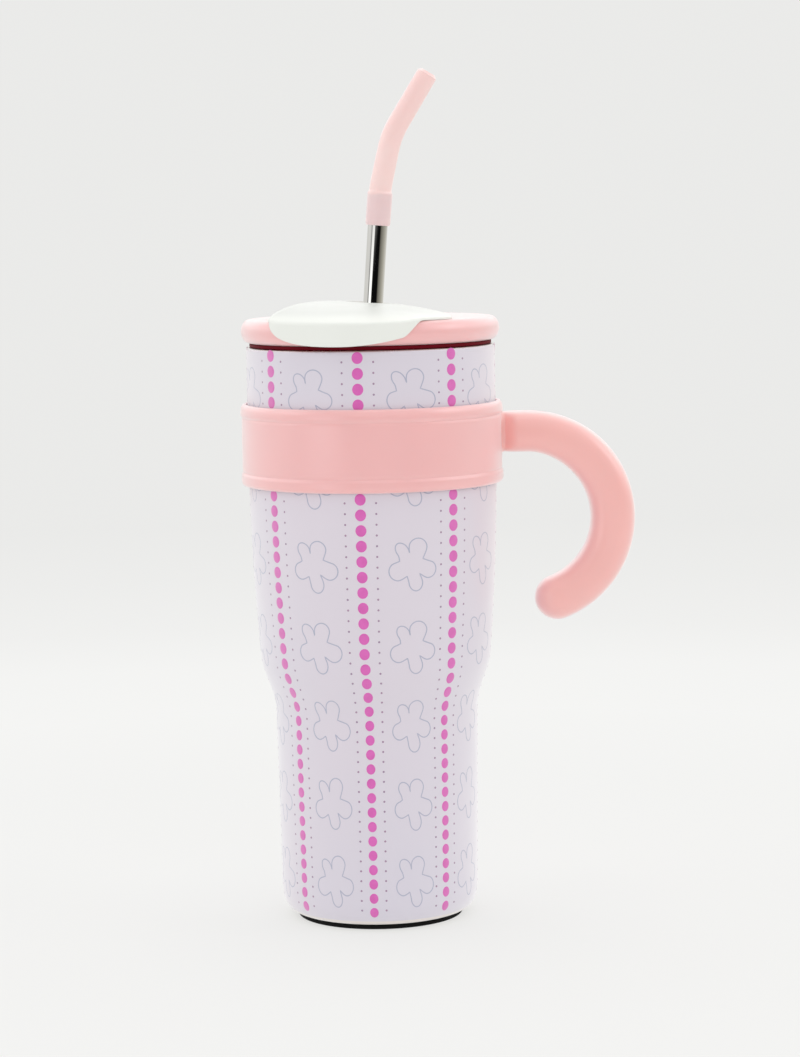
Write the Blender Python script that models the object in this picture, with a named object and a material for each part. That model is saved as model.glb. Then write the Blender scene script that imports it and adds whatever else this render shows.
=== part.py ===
"""Insulated tumbler: a double-wall steel cup with a press-in lid, a turning drink cover, a steel
straw with a bent silicone mouthpiece, and a hook handle on a ring that slides up the cup.

Metres, +Z up. The origin is the centre of the base pad's underside. The handle points along +X.
Azimuths of the lid's features are measured from -Y, positive towards +X.
"""

import math

import bmesh
import bpy
from mathutils import Matrix, Vector

MM = 0.001
GAP = 0.3 * MM  # clearance that touching pieces keep
SEGMENTS = 36  # facets round the large turned pieces
FINE_SEGMENTS = 20  # facets round the small ones

# Cup: outer shell
CUP_RADIUS = 50.0 * MM
CUP_TOP = 232.3 * MM
STRAIGHT_END = 190.0 * MM  # the upper wall is a straight cylinder down to here
SHOULDER_TOP = 107.0 * MM
SHOULDER_RADIUS = 46.6 * MM
SHOULDER_BOTTOM = 88.6 * MM
FOOT_TOP_RADIUS = 40.95 * MM
FOOT_RADIUS = 39.7 * MM
SHELL_BOTTOM = 2.1 * MM
SHELL_WALL = 0.6 * MM
LIP_WIDTH = 2.6 * MM  # how far the shell's top turns in to meet the liner
BASE_HOLE = 32.6 * MM
BASE_FLANGE = 4.0 * MM

# Cup: inner liner
VACUUM_SPACE = 2.9 * MM  # from the outer shell's outer face to the liner's outer face
LINER_WALL = 0.5 * MM
LINER_BOTTOM = 9.0 * MM

# Cup: base
BASE_DISC_WALL = 0.8 * MM
DIMPLE_RADIUS = 4.0 * MM
DIMPLE_HEIGHT = 1.7 * MM
PAD_RADIUS = 33.5 * MM
PAD_HEIGHT = 1.8 * MM
GETTER_RADIUS = 5.0 * MM
GETTER_OFFSET = 16.0 * MM
GETTER_HEIGHT = 1.4 * MM
BEAD_RADIUS = 2.8 * MM

# Handle ring
BAND_BOTTOM = 176.7 * MM
BAND_TOP = 209.5 * MM
BAND_INNER = 50.4 * MM
BAND_OUTER = 52.5 * MM
BAND_LIP_OUTER = 52.95 * MM
BAND_LIP_HEIGHT = 5.4 * MM
BAND_GROOVE_DEPTH = 0.25 * MM
LUG_END = 55.4 * MM
LUG_HALF_WIDTH = 7.0 * MM
LUG_HALF_HEIGHT = 7.4 * MM

# Hook handle
HOOK_CENTRE_X = 62.0 * MM
HOOK_CENTRE_Z = 161.4 * MM
HOOK_RADIUS = 35.0 * MM
HOOK_END = math.radians(-70)
GRIP_HALF_DEPTH = 9.0 * MM  # in the plane of the hook
GRIP_ROOT_HALF_DEPTH = 8.3 * MM
GRIP_HALF_WIDTH = 9.6 * MM
NECK_HALF_WIDTH = 7.2 * MM  # where the grip starts at the ring's lug
NECK_SWELL = ((0.0, 0.0), (1.2 * MM, 0.62), (3.6 * MM, 1.0))  # distance from the lug, share of the swell
CORE_HALF_DEPTH = 5.2 * MM
CORE_HALF_WIDTH = 5.4 * MM
CORE_END = math.radians(-58)
SCREW_SPACING = 5.8 * MM
SCREW_RADIUS = 1.2 * MM
SCREW_HEAD_RADIUS = 2.3 * MM
SCREW_HEAD_HEIGHT = 1.0 * MM
SCREW_LENGTH = 12.0 * MM

# Lid
LID_TOP = 243.4 * MM
LID_BOTTOM = 234.0 * MM
LID_RADIUS = 52.0 * MM
LID_FLAT_RADIUS = 48.5 * MM  # where the flat top turns into the rounded rim
LID_WALL = 2.0 * MM
HUB_BORE = 12.4 * MM
PLUG_RADIUS = 44.6 * MM
PLUG_BOTTOM = 224.5 * MM
PLUG_WALL = 1.8 * MM
PLUG_FLANGE = 48.6 * MM
TUBE_BORE = 7.6 * MM
TUBE_OUTER = 9.3 * MM
TUBE_TOP = 247.0 * MM
SEAL_TOP = 233.7 * MM
SEAL_RADIUS = 48.7 * MM
SEAL_FIN_RADIUS = 46.2 * MM
SIP_INNER = 35.0 * MM
SIP_OUTER = 43.0 * MM
SIP_AZIMUTH = math.radians(-15.5)
SIP_HALF_ANGLE = math.radians(10)
GROMMET_BOTTOM = 239.5 * MM
GROMMET_TOP = 248.0 * MM

# Turning cover: a domed pebble whose front hangs over the lid's rim as a skirt.
# Its outline seen from above, as (azimuth in degrees, radius in mm)
COVER_BACK_LEFT = ((-180, 34.0), (-150, 34.6), (-120, 36.6), (-95, 39.4), (-80, 40.6), (-68, 43.1))
COVER_NOSE = ((-58, 47.2), (-51, 51.4), (-47.5, 53.2), (-43, 53.6))
COVER_TAIL = ((14, 53.6), (19, 53.0), (24.5, 50.2), (30, 49.2), (38, 48.9), (42, 47.6), (46, 44.8))
COVER_BACK_RIGHT = ((52, 41.0), (60, 36.4), (72, 32.6), (90, 30.7), (120, 31.4), (150, 33.0), (180, 34.0))
COVER_PLAN = COVER_BACK_LEFT + COVER_NOSE + COVER_TAIL + COVER_BACK_RIGHT
# Azimuths in degrees at which the cover gets a section: closer together at its nose and tail
COVER_CUTS = list(range(-170, -60, 10)) + [-62, -57, -53, -50.5, -48.4, -47.4, -46, -44]
COVER_CUTS += list(range(-41, 13, 6)) + [13.6, 16, 18, 20, 22, 24.3, 27, 31, 35, 38, 40.5, 43]
COVER_CUTS += [45.5, 48.5, 52, 56, 61, 67] + list(range(75, 180, 10))
SKIRT_LOWEST = -14.0  # azimuths in degrees: where the skirt hangs lowest, and how it rises each way
SKIRT_LEFT = 34.3
SKIRT_SAG = 48.0
SKIRT_RISE_START = 13.6
SKIRT_RISE = 10.7
SKIRT_DROP = 10.0 * MM
COVER_UNDERSIDE = 243.9 * MM
COVER_EDGE = 244.4 * MM
SKIRT_EDGE = 242.9 * MM
COVER_TOP = 250.6 * MM
COVER_PEAK_X = -17.0 * MM
COVER_TILT = 0.06
COVER_WALL = 1.6 * MM
EDGE_ROUNDING = 0.9 * MM
SKIRT_WALL = 1.0 * MM
SIP_PLUG_TOP = 244.5 * MM
HUB_OUTER = 12.0 * MM
HUB_INNER = 9.8 * MM
HUB_BOTTOM = 238.2 * MM
HUB_GROOVE = 11.3 * MM

# Straw
STRAW_RADIUS = 4.0 * MM
STRAW_WALL = 0.5 * MM
STRAW_LEAN = math.radians(4.46)
STRAW_CROSSING = 230.4 * MM  # height at which the leaning straw crosses the cup's axis
STRAW_BOTTOM = 13.0 * MM
STRAW_TOP = 292.6 * MM
TIP_BOTTOM = 280.2 * MM
SLEEVE_LENGTH = 13.6 * MM
SLEEVE_RADIUS = 5.05 * MM
TIP_RADIUS = 4.6 * MM
TIP_END_RADIUS = 4.25 * MM
TIP_BORE = 2.7 * MM
TIP_LOWER_LENGTH = 22.8 * MM
TIP_LOWER_LEAN = math.radians(8.4)
TIP_UPPER_LENGTH = 29.0 * MM
TIP_UPPER_LEAN = math.radians(27.1)

PINK = (0.84, 0.47, 0.48)
LAVENDER = (0.73, 0.68, 0.80)
WHITE = (0.88, 0.88, 0.86)
STEEL = (0.62, 0.61, 0.60)
MAROON = (0.10, 0.01, 0.02)
BLACK = (0.03, 0.03, 0.03)


def clear_scene():
    for obj in list(bpy.data.objects):
        bpy.data.objects.remove(obj, do_unlink=True)


def make_material(name, color, metallic=0.0, roughness=0.5):
    material = bpy.data.materials.new(name)
    material.use_nodes = True
    shader = material.node_tree.nodes["Principled BSDF"]
    shader.inputs["Base Color"].default_value = (*color, 1.0)
    shader.inputs["Metallic"].default_value = metallic
    shader.inputs["Roughness"].default_value = roughness
    return material


def add_empty(name, location, parent=None, rotation=(0, 0, 0)):
    empty = bpy.data.objects.new(name, None)
    empty.location = location
    empty.rotation_euler = rotation
    empty.parent = parent
    bpy.context.collection.objects.link(empty)
    return empty


def add_object(name, mesh, material, parent=None):
    obj = bpy.data.objects.new(name, mesh)
    obj.parent = parent
    mesh.materials.append(material)
    mesh.shade_smooth()
    mesh.set_sharp_from_angle(angle=math.radians(35))
    bpy.context.collection.objects.link(obj)
    return obj


def finish_mesh(name, bm):
    bmesh.ops.recalc_face_normals(bm, faces=bm.faces)
    mesh = bpy.data.meshes.new(name)
    bm.to_mesh(mesh)
    bm.free()
    return mesh


def corner(before, point, after, reach_in, reach_out, steps=4):
    """Points of a quadratic curve that rounds off one corner of an outline."""
    before, point, after = Vector(before), Vector(point), Vector(after)
    start = point + (before - point).normalized() * reach_in
    end = point + (after - point).normalized() * reach_out
    return [
        tuple((1 - t) ** 2 * start + 2 * t * (1 - t) * point + t**2 * end)
        for t in (i / steps for i in range(steps + 1))
    ]


def turned_mesh(name, profile, segments=SEGMENTS, height_shift=0.0):
    """Revolves a closed outline of (radius, height) points round Z."""
    bm = bmesh.new()
    points = [bm.verts.new((radius, 0, height - height_shift)) for radius, height in profile]
    edges = [bm.edges.new((a, b)) for a, b in zip(points, points[1:] + points[:1])]
    bmesh.ops.spin(
        bm,
        geom=points + edges,
        cent=(0, 0, 0),
        axis=(0, 0, 1),
        angle=math.tau,
        steps=segments,
        use_merge=True,
        use_duplicate=False,
    )
    bmesh.ops.remove_doubles(bm, verts=bm.verts, dist=1e-6)
    bmesh.ops.dissolve_degenerate(bm, edges=bm.edges, dist=1e-7)
    return finish_mesh(name, bm)


def skinned_mesh(name, rings, closed):
    """Bridges a run of point rings: into a closed tube, or into a solid with capped ends."""
    bm = bmesh.new()
    loops = [[bm.verts.new(point) for point in ring] for ring in rings]
    pairs = list(zip(loops, loops[1:]))
    if closed:
        pairs.append((loops[-1], loops[0]))
    count = len(loops[0])
    for lower, upper in pairs:
        for i in range(count):
            j = (i + 1) % count
            bm.faces.new((lower[i], lower[j], upper[j], upper[i]))
    if not closed:
        bm.faces.new(loops[0])
        bm.faces.new(loops[-1])
    return finish_mesh(name, bm)


def cut_with(obj, cutter, operation="DIFFERENCE"):
    cutter.hide_render = True
    cutter.display_type = "WIRE"
    modifier = obj.modifiers.new(cutter.name, "BOOLEAN")
    modifier.operation = operation
    modifier.solver = "EXACT"
    modifier.object = cutter


def add_cutter(name, mesh, parent=None):
    cutter = bpy.data.objects.new(name, mesh)
    cutter.parent = parent
    bpy.context.collection.objects.link(cutter)
    return cutter


def rod_mesh(name, radius, start, end, segments=FINE_SEGMENTS):
    """A solid rod between two points."""
    start, end = Vector(start), Vector(end)
    axis = end - start
    bm = bmesh.new()
    bmesh.ops.create_cone(
        bm,
        cap_ends=True,
        segments=segments,
        radius1=radius,
        radius2=radius,
        depth=axis.length,
    )
    turn = axis.to_track_quat("Z", "Y").to_matrix().to_4x4()
    bmesh.ops.transform(bm, verts=bm.verts, matrix=Matrix.Translation((start + end) / 2) @ turn)
    return finish_mesh(name, bm)


def polar(radius, azimuth, height):
    """A point at an azimuth measured from -Y towards +X."""
    return (radius * math.sin(azimuth), -radius * math.cos(azimuth), height)


# Cup


def bulge_radius(height):
    """The upper wall narrows as a parabola between the straight part and the shoulder."""
    fall = (STRAIGHT_END - height) / (STRAIGHT_END - SHOULDER_TOP)
    return CUP_RADIUS - (CUP_RADIUS - SHOULDER_RADIUS) * fall**2


def cup_wall(inset, bottom, base_reach):
    """The cup's outline from the straight part down to the flat bottom, moved in by inset."""
    steps = 4
    drop = (STRAIGHT_END - SHOULDER_TOP) / steps
    heights = [STRAIGHT_END - drop * i for i in range(steps)]
    upper = [(bulge_radius(height) - inset, height) for height in heights]
    top_knee = (SHOULDER_RADIUS - inset - 0.25 * MM, SHOULDER_TOP - 3 * MM)
    low_knee = (FOOT_TOP_RADIUS - inset, SHOULDER_BOTTOM)
    base = (FOOT_RADIUS - inset, bottom)
    knees = corner(upper[-1], top_knee, low_knee, 3 * MM, 3 * MM, steps=2)
    knees += corner(top_knee, low_knee, base, 4 * MM, 4 * MM, steps=2)
    centre = (0, bottom)
    return upper + knees + corner(low_knee, base, centre, 12 * MM, base_reach, steps=4)


def make_outer_shell(material):
    lip = CUP_RADIUS - LIP_WIDTH
    edge = (CUP_RADIUS, CUP_TOP)
    outer = corner((lip, CUP_TOP), edge, (CUP_RADIUS, 0), 0.9 * MM, 2.2 * MM, steps=2)
    outer += cup_wall(0.0, SHELL_BOTTOM, 6.5 * MM)
    flange_top = SHELL_BOTTOM + BASE_FLANGE
    flange = [
        (BASE_HOLE, SHELL_BOTTOM),
        (BASE_HOLE, flange_top),
        (BASE_HOLE + SHELL_WALL, flange_top),
        (BASE_HOLE + SHELL_WALL, SHELL_BOTTOM + SHELL_WALL),
    ]
    inner = cup_wall(SHELL_WALL, SHELL_BOTTOM + SHELL_WALL, 5.5 * MM)[::-1]
    under_lip = CUP_TOP - SHELL_WALL
    inner += [(CUP_RADIUS - SHELL_WALL, under_lip), (lip, under_lip), (lip, CUP_TOP)]
    add_object("outer_shell", turned_mesh("outer_shell", outer + flange + inner), material)


def make_inner_liner(material):
    inset = VACUUM_SPACE
    outer = [(CUP_RADIUS - inset, CUP_TOP)] + cup_wall(inset, LINER_BOTTOM, 9 * MM)
    outer.append((0, LINER_BOTTOM))
    inset = VACUUM_SPACE + LINER_WALL
    inner = [(CUP_RADIUS - inset, CUP_TOP)] + cup_wall(inset, LINER_BOTTOM + LINER_WALL, 9 * MM)
    inner.append((0, LINER_BOTTOM + LINER_WALL))
    add_object("inner_liner", turned_mesh("inner_liner", outer + inner[::-1]), material)


def make_base(steel, rubber, glass):
    """The disc that closes the vacuum space, its sealed port, the getter and the foot pad."""
    disc_bottom = PAD_HEIGHT + GAP
    disc_top = disc_bottom + BASE_DISC_WALL
    radius = BASE_HOLE - GAP
    disc = [
        (radius, disc_bottom),
        (radius, disc_top),
        (DIMPLE_RADIUS + BASE_DISC_WALL, disc_top),
        (DIMPLE_RADIUS, disc_top + DIMPLE_HEIGHT),
        (0, disc_top + DIMPLE_HEIGHT),
        (0, disc_bottom + DIMPLE_HEIGHT),
        (DIMPLE_RADIUS - BASE_DISC_WALL, disc_bottom + DIMPLE_HEIGHT),
        (DIMPLE_RADIUS, disc_bottom),
    ]
    add_object("outer_base", turned_mesh("outer_base", disc), steel)
    bead_top = disc_bottom + DIMPLE_HEIGHT - GAP
    bead = [(0, bead_top), (BEAD_RADIUS, bead_top), (BEAD_RADIUS * 0.7, disc_bottom), (0, disc_bottom)]
    add_object("vacuum_seal_bead", turned_mesh("vacuum_seal_bead", bead, FINE_SEGMENTS), glass)
    getter_bottom = disc_top + GAP
    start = (GETTER_OFFSET, 0, getter_bottom)
    end = (GETTER_OFFSET, 0, getter_bottom + GETTER_HEIGHT)
    add_object("getter", rod_mesh("getter", GETTER_RADIUS, start, end), steel)
    pad = [(0, 0), (PAD_RADIUS - 0.5 * MM, 0), (PAD_RADIUS, 0.5 * MM)]
    pad += [(PAD_RADIUS, PAD_HEIGHT), (0, PAD_HEIGHT)]
    add_object("base_pad", turned_mesh("base_pad", pad), rubber)


# Handle


def band_profile():
    lip_top = BAND_TOP - BAND_LIP_HEIGHT
    lip_bottom = BAND_BOTTOM + BAND_LIP_HEIGHT
    groove = BAND_OUTER - BAND_GROOVE_DEPTH
    soft = 1.2 * MM
    top = (BAND_LIP_OUTER, BAND_TOP)
    bottom = (BAND_LIP_OUTER, BAND_BOTTOM)
    profile = corner((BAND_INNER, BAND_TOP), top, bottom, 2.0 * MM, 2.4 * MM, 3)
    profile += [(BAND_LIP_OUTER, lip_top + soft), (groove, lip_top), (BAND_OUTER, lip_top - soft)]
    profile += [(BAND_OUTER, lip_bottom + soft), (groove, lip_bottom)]
    profile += [(BAND_LIP_OUTER, lip_bottom - soft)]
    profile += corner(top, bottom, (BAND_INNER, BAND_BOTTOM), 2.4 * MM, 2.0 * MM, 3)
    return profile + [(BAND_INNER, BAND_BOTTOM), (BAND_INNER, BAND_TOP)]


def root_height():
    return HOOK_CENTRE_Z + HOOK_RADIUS


def screw_heights():
    return {
        "upper": root_height() + SCREW_SPACING / 2,
        "lower": root_height() - SCREW_SPACING / 2,
    }


def add_screw_cutters(obj, parent, head_start, shank_end):
    """Clearance holes for both handle screws, with a counterbore where the heads sit."""
    for place, height in screw_heights().items():
        shank = rod_mesh(
            "shank_cut", SCREW_RADIUS + GAP, (BAND_INNER - MM, 0, height), (shank_end, 0, height)
        )
        cut_with(obj, add_cutter(f"{obj.name}_shank_{place}", shank, parent))
        if head_start:
            head_end = BAND_INNER + SCREW_HEAD_HEIGHT + GAP
            head = rod_mesh(
                "head_cut", SCREW_HEAD_RADIUS + GAP, (head_start, 0, height), (head_end, 0, height)
            )
            cut_with(obj, add_cutter(f"{obj.name}_head_{place}", head, parent))


def make_handle_band(material, parent):
    band = add_object("handle_band", turned_mesh("handle_band", band_profile()), material, parent)
    bm = bmesh.new()
    bmesh.ops.create_cube(bm, size=1.0)
    start = BAND_INNER + MM
    size = (LUG_END - start, 2 * LUG_HALF_WIDTH, 2 * LUG_HALF_HEIGHT)
    centre = ((LUG_END + start) / 2, 0, root_height())
    placed = Matrix.Translation(centre) @ Matrix.Diagonal((*size, 1))
    bmesh.ops.transform(bm, verts=bm.verts, matrix=placed)
    long_edges = [e for e in bm.edges if abs(e.verts[0].co.x - e.verts[1].co.x) > MM]
    bmesh.ops.bevel(bm, geom=long_edges, offset=3 * MM, segments=3, affect="EDGES")
    lug = add_cutter("band_lug", finish_mesh("band_lug", bm), parent)
    cut_with(band, lug, "UNION")
    add_screw_cutters(band, parent, BAND_INNER - MM, LUG_END + MM)


def hook_frames(end_angle, steps, start_x):
    """Centre, in-plane normal and travelled share along the hook, from its root to its end."""
    root = Vector((start_x, 0, root_height()))
    frames = [(root, Vector((0, 0, 1)), 0.0)]
    sweep = math.pi / 2 - end_angle
    for i in range(steps + 1):
        angle = math.pi / 2 - sweep * i / steps
        normal = Vector((math.cos(angle), 0, math.sin(angle)))
        centre = Vector((HOOK_CENTRE_X, 0, HOOK_CENTRE_Z)) + normal * HOOK_RADIUS
        frames.append((centre, normal, i / steps))
    return frames


def rounded_section(centre, normal, half_depth, half_width, count=16, fullness=2.7):
    """A superellipse ring in the plane of the normal and Y."""
    ring = []
    for i in range(count):
        angle = math.tau * i / count
        cos, sin = math.cos(angle), math.sin(angle)
        depth = math.copysign(abs(cos) ** (2 / fullness), cos) * half_depth
        width = math.copysign(abs(sin) ** (2 / fullness), sin) * half_width
        ring.append(centre + normal * depth + Vector((0, width, 0)))
    return ring


def grip_rings():
    """The grip's outer skin, from a narrower neck at the lug to its rounded end."""
    start = LUG_END + GAP
    rings = []
    for along, swell in NECK_SWELL:
        centre = Vector((start + along, 0, root_height()))
        width = NECK_HALF_WIDTH + (GRIP_HALF_WIDTH - NECK_HALF_WIDTH) * swell
        rings.append(rounded_section(centre, Vector((0, 0, 1)), GRIP_ROOT_HALF_DEPTH, width))
    for centre, normal, share in hook_frames(HOOK_END, 10, start)[1:]:
        depth = GRIP_ROOT_HALF_DEPTH + (GRIP_HALF_DEPTH - GRIP_ROOT_HALF_DEPTH) * min(1, 3 * share)
        rings.append(rounded_section(centre, normal, depth, GRIP_HALF_WIDTH))
    ahead = Vector((normal.z, 0, -normal.x))
    for turn in (0.45, 0.8, 0.97):
        shrink = math.sqrt(1 - turn**2)
        tip = centre + ahead * GRIP_HALF_DEPTH * turn
        rings.append(rounded_section(tip, normal, GRIP_HALF_DEPTH * shrink, GRIP_HALF_WIDTH * shrink))
    return rings


def make_hook(core_material, grip_material, parent):
    start = LUG_END + GAP
    frames = hook_frames(CORE_END, 8, start)
    core_rings = [rounded_section(c, n, CORE_HALF_DEPTH, CORE_HALF_WIDTH) for c, n, _ in frames]
    core_mesh = skinned_mesh("handle_core", core_rings, False)
    core = add_object("handle_core", core_mesh, core_material, parent)
    add_screw_cutters(core, parent, None, LUG_END + SCREW_LENGTH)
    bore = [
        rounded_section(c, n, CORE_HALF_DEPTH + 1.2 * GAP, CORE_HALF_WIDTH + 1.2 * GAP)
        for c, n, _ in frames
    ]
    ahead = Vector((frames[-1][1].z, 0, -frames[-1][1].x))
    bore.append([point + ahead * 2 * GAP for point in bore[-1]])
    rings = bore[::-1] + grip_rings()
    add_object("handle_grip", skinned_mesh("handle_grip", rings, False), grip_material, parent)


def make_handle_screws(material, parent):
    for place, height in screw_heights().items():
        head_start = BAND_INNER + 0.1 * MM
        profile = [
            (0, head_start),
            (SCREW_HEAD_RADIUS, head_start),
            (SCREW_HEAD_RADIUS, head_start + SCREW_HEAD_HEIGHT - 0.1 * MM),
            (SCREW_RADIUS, head_start + SCREW_HEAD_HEIGHT - 0.1 * MM),
            (SCREW_RADIUS, head_start + SCREW_LENGTH),
            (0, head_start + SCREW_LENGTH),
        ]
        name = f"handle_screw_{place}"
        screw = add_object(name, turned_mesh(name, profile, FINE_SEGMENTS), material, parent)
        screw.location.z = height
        screw.rotation_euler.y = math.pi / 2


# Lid


def half_ellipse(radius, middle, width, half_height, steps):
    """Points round the outside of the rim, from top to bottom."""
    angles = [math.pi / 2 - math.pi * i / steps for i in range(steps + 1)]
    return [(radius + width * math.cos(a), middle + half_height * math.sin(a)) for a in angles]


def sector_mesh(name, inner, outer, half_angle, bottom, top):
    """A block that follows a ring, centred on the drinking hole's azimuth."""
    steps = 6
    angles = [SIP_AZIMUTH + half_angle * (2 * i / steps - 1) for i in range(steps + 1)]
    rim = [(outer, a) for a in angles] + [(inner, a) for a in reversed(angles)]
    rings = [[polar(r, a, height) for r, a in rim] for height in (bottom, top)]
    return skinned_mesh(name, rings, False)


def make_lid_top(material, parent):
    middle = (LID_TOP + LID_BOTTOM) / 2
    half_height = (LID_TOP - LID_BOTTOM) / 2
    outer = half_ellipse(LID_FLAT_RADIUS, middle, LID_RADIUS - LID_FLAT_RADIUS, half_height, 8)
    inner_width = LID_RADIUS - LID_FLAT_RADIUS - LID_WALL
    inner = half_ellipse(LID_FLAT_RADIUS, middle, inner_width, half_height - LID_WALL, 3)
    skirt = [(LID_FLAT_RADIUS + 0.4 * MM, LID_BOTTOM + 0.3 * MM)]
    profile = [(HUB_BORE, LID_TOP)] + outer[:-1] + skirt + inner[-2::-1]
    profile.append((HUB_BORE, LID_TOP - LID_WALL))
    lid = add_object("lid_top", turned_mesh("lid_top", profile), material, parent)
    slot = sector_mesh(
        "sip_cut", SIP_INNER, SIP_OUTER, SIP_HALF_ANGLE, LID_BOTTOM, LID_TOP + LID_WALL
    )
    cut_with(lid, add_cutter("lid_sip_cut", slot, parent))


def make_lid_base(material, parent):
    flange_bottom = LID_BOTTOM
    profile = [
        (TUBE_BORE, TUBE_TOP),
        (TUBE_OUTER, TUBE_TOP),
        (TUBE_OUTER, PLUG_BOTTOM + PLUG_WALL),
        (PLUG_RADIUS - PLUG_WALL, PLUG_BOTTOM + PLUG_WALL),
        (PLUG_RADIUS - PLUG_WALL, flange_bottom + PLUG_WALL),
        (PLUG_FLANGE, flange_bottom + PLUG_WALL),
        (PLUG_FLANGE, flange_bottom),
        (PLUG_RADIUS, flange_bottom),
        (PLUG_RADIUS, PLUG_BOTTOM + MM),
        (PLUG_RADIUS - MM, PLUG_BOTTOM),
        (TUBE_BORE, PLUG_BOTTOM),
    ]
    plug = add_object("lid_base", turned_mesh("lid_base", profile), material, parent)
    low, high = PLUG_BOTTOM - MM, PLUG_BOTTOM + 2 * PLUG_WALL
    slot = sector_mesh("port_cut", SIP_INNER, SIP_OUTER - 2 * MM, SIP_HALF_ANGLE, low, high)
    cut_with(plug, add_cutter("plug_port_cut", slot, parent))


def make_lid_seal(material, parent):
    """An L-shaped ring: its flange shows under the rim and two fins press on the liner."""
    inner = PLUG_RADIUS + GAP
    leg = inner + 0.7 * MM
    flange_bottom = CUP_TOP + GAP
    fin = 0.5 * MM
    profile = [(inner, SEAL_TOP), (SEAL_RADIUS, SEAL_TOP), (SEAL_RADIUS, flange_bottom)]
    profile.append((leg, flange_bottom))
    for height in (230.6 * MM, 227.8 * MM):
        profile += [(leg, height + fin), (SEAL_FIN_RADIUS, height), (leg, height - fin)]
    profile += [(leg, PLUG_BOTTOM + 1.6 * MM), (inner, PLUG_BOTTOM + 1.6 * MM)]
    add_object("lid_seal", turned_mesh("lid_seal", profile), material, parent)


def make_grommet(material, parent):
    neck = TUBE_BORE - GAP
    flange = HUB_INNER - 0.8 * MM
    profile = [
        (0, GROMMET_TOP),
        (flange, GROMMET_TOP),
        (flange, TUBE_TOP + GAP),
        (neck, TUBE_TOP + GAP),
        (neck, GROMMET_BOTTOM),
        (0, GROMMET_BOTTOM),
    ]
    mesh = turned_mesh("straw_grommet", profile, FINE_SEGMENTS)
    grommet = add_object("straw_grommet", mesh, material, parent)
    bore = rod_mesh("grommet_bore", STRAW_RADIUS + GAP, straw_point(-40 * MM), straw_point(40 * MM))
    cut_with(grommet, add_cutter("grommet_bore_cut", bore, parent))


def make_cover_retainer(material, parent):
    top = LID_TOP - LID_WALL - GAP
    bottom = top - 1.0 * MM
    inner = HUB_GROOVE + GAP
    outer = HUB_BORE + 2.4 * MM
    profile = [(inner, top), (outer, top), (outer, bottom), (inner, bottom)]
    name = "cover_retainer"
    add_object(name, turned_mesh(name, profile, FINE_SEGMENTS), material, parent)


# Turning cover


def smooth_step(value):
    value = min(1.0, max(0.0, value))
    return value * value * (3 - 2 * value)


def smooth_through(points, position):
    """A smooth curve through (position, value) points that never swings past them."""

    def slope(i):
        if i in (0, len(points) - 1):
            return 0.0
        (a, value_a), (b, value_b), (c, value_c) = points[i - 1 : i + 2]
        before, after = (value_b - value_a) / (b - a), (value_c - value_b) / (c - b)
        return 2 * before * after / (before + after) if before * after > 0 else 0.0

    i = max(k for k in range(len(points) - 1) if points[k][0] <= position)
    (a, value_a), (b, value_b) = points[i], points[i + 1]
    t = (position - a) / (b - a)
    bend = slope(i) * (t**3 - 2 * t**2 + t) + slope(i + 1) * (t**3 - t**2)
    return value_a + (value_b - value_a) * smooth_step(t) + (b - a) * bend


def skirt_hang(degrees):
    """1 where the skirt hangs lowest and 0 where the cover only lies on the lid."""
    turn = degrees - SKIRT_LOWEST
    if turn < 0:
        return max(0.0, 1 - (-turn / SKIRT_LEFT) ** 2.5) ** 0.45
    rise = smooth_step((degrees - SKIRT_RISE_START) / SKIRT_RISE)
    return max(0.0, 1 - (turn / SKIRT_SAG) ** 2) * (1 - rise)


def dome_height(radius, degrees):
    """The top leans down towards the handle and is fuller on the other side."""
    side = math.sin(math.radians(degrees))
    edge = COVER_EDGE + (SKIRT_EDGE - COVER_EDGE) * skirt_hang(degrees)
    top = COVER_TOP - COVER_TILT * (radius * side - COVER_PEAK_X)
    share = min(1.0, radius / (smooth_through(COVER_PLAN, degrees) * MM))
    return edge + (top - edge) * (1 - share ** (2.85 - 0.65 * side)) ** 0.87


def cover_section(degrees):
    """The closed section of the cover at one azimuth: top, skirt, underside and hub."""
    rim = smooth_through(COVER_PLAN, degrees) * MM
    crown = HUB_INNER + 0.7 * MM
    points = []
    for share in (0.0, 0.3, 0.55, 0.75, 0.88):
        radius = crown + (rim - crown) * share
        points.append((radius, dome_height(radius, degrees)))
    bottom = COVER_UNDERSIDE - SKIRT_DROP * skirt_hang(degrees)
    edge = dome_height(rim, degrees)
    start = (rim - EDGE_ROUNDING, dome_height(rim - EDGE_ROUNDING, degrees))
    drop = min(EDGE_ROUNDING, 0.5 * (edge - bottom))
    points += corner(start, (rim, edge), (rim, bottom), math.dist(start, (rim, edge)), drop, steps=2)
    points += [(rim, bottom), (rim - SKIRT_WALL, bottom)]
    under = COVER_UNDERSIDE + 0.1 * MM
    points += [(rim - SKIRT_WALL - 0.25 * MM, under), (rim - 3.4 * MM, under)]
    inner_rim = rim - 5.2 * MM
    inner_crown = HUB_OUTER + MM
    for share in (1.0, 0.8, 0.5, 0.0):
        radius = inner_crown + (inner_rim - inner_crown) * share
        points.append((radius, max(under, dome_height(radius, degrees) - COVER_WALL)))
    groove_top = LID_TOP - LID_WALL + GAP
    groove_bottom = groove_top - 2.2 * MM
    points += [(HUB_OUTER, dome_height(HUB_OUTER, degrees) - 1.4 * COVER_WALL)]
    points += [(HUB_OUTER, groove_top), (HUB_GROOVE, groove_top), (HUB_GROOVE, groove_bottom)]
    points += [(HUB_OUTER, groove_bottom), (HUB_OUTER, HUB_BOTTOM), (HUB_INNER, HUB_BOTTOM)]
    return points + [(HUB_INNER, points[0][1] - 0.7 * MM)]


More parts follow.
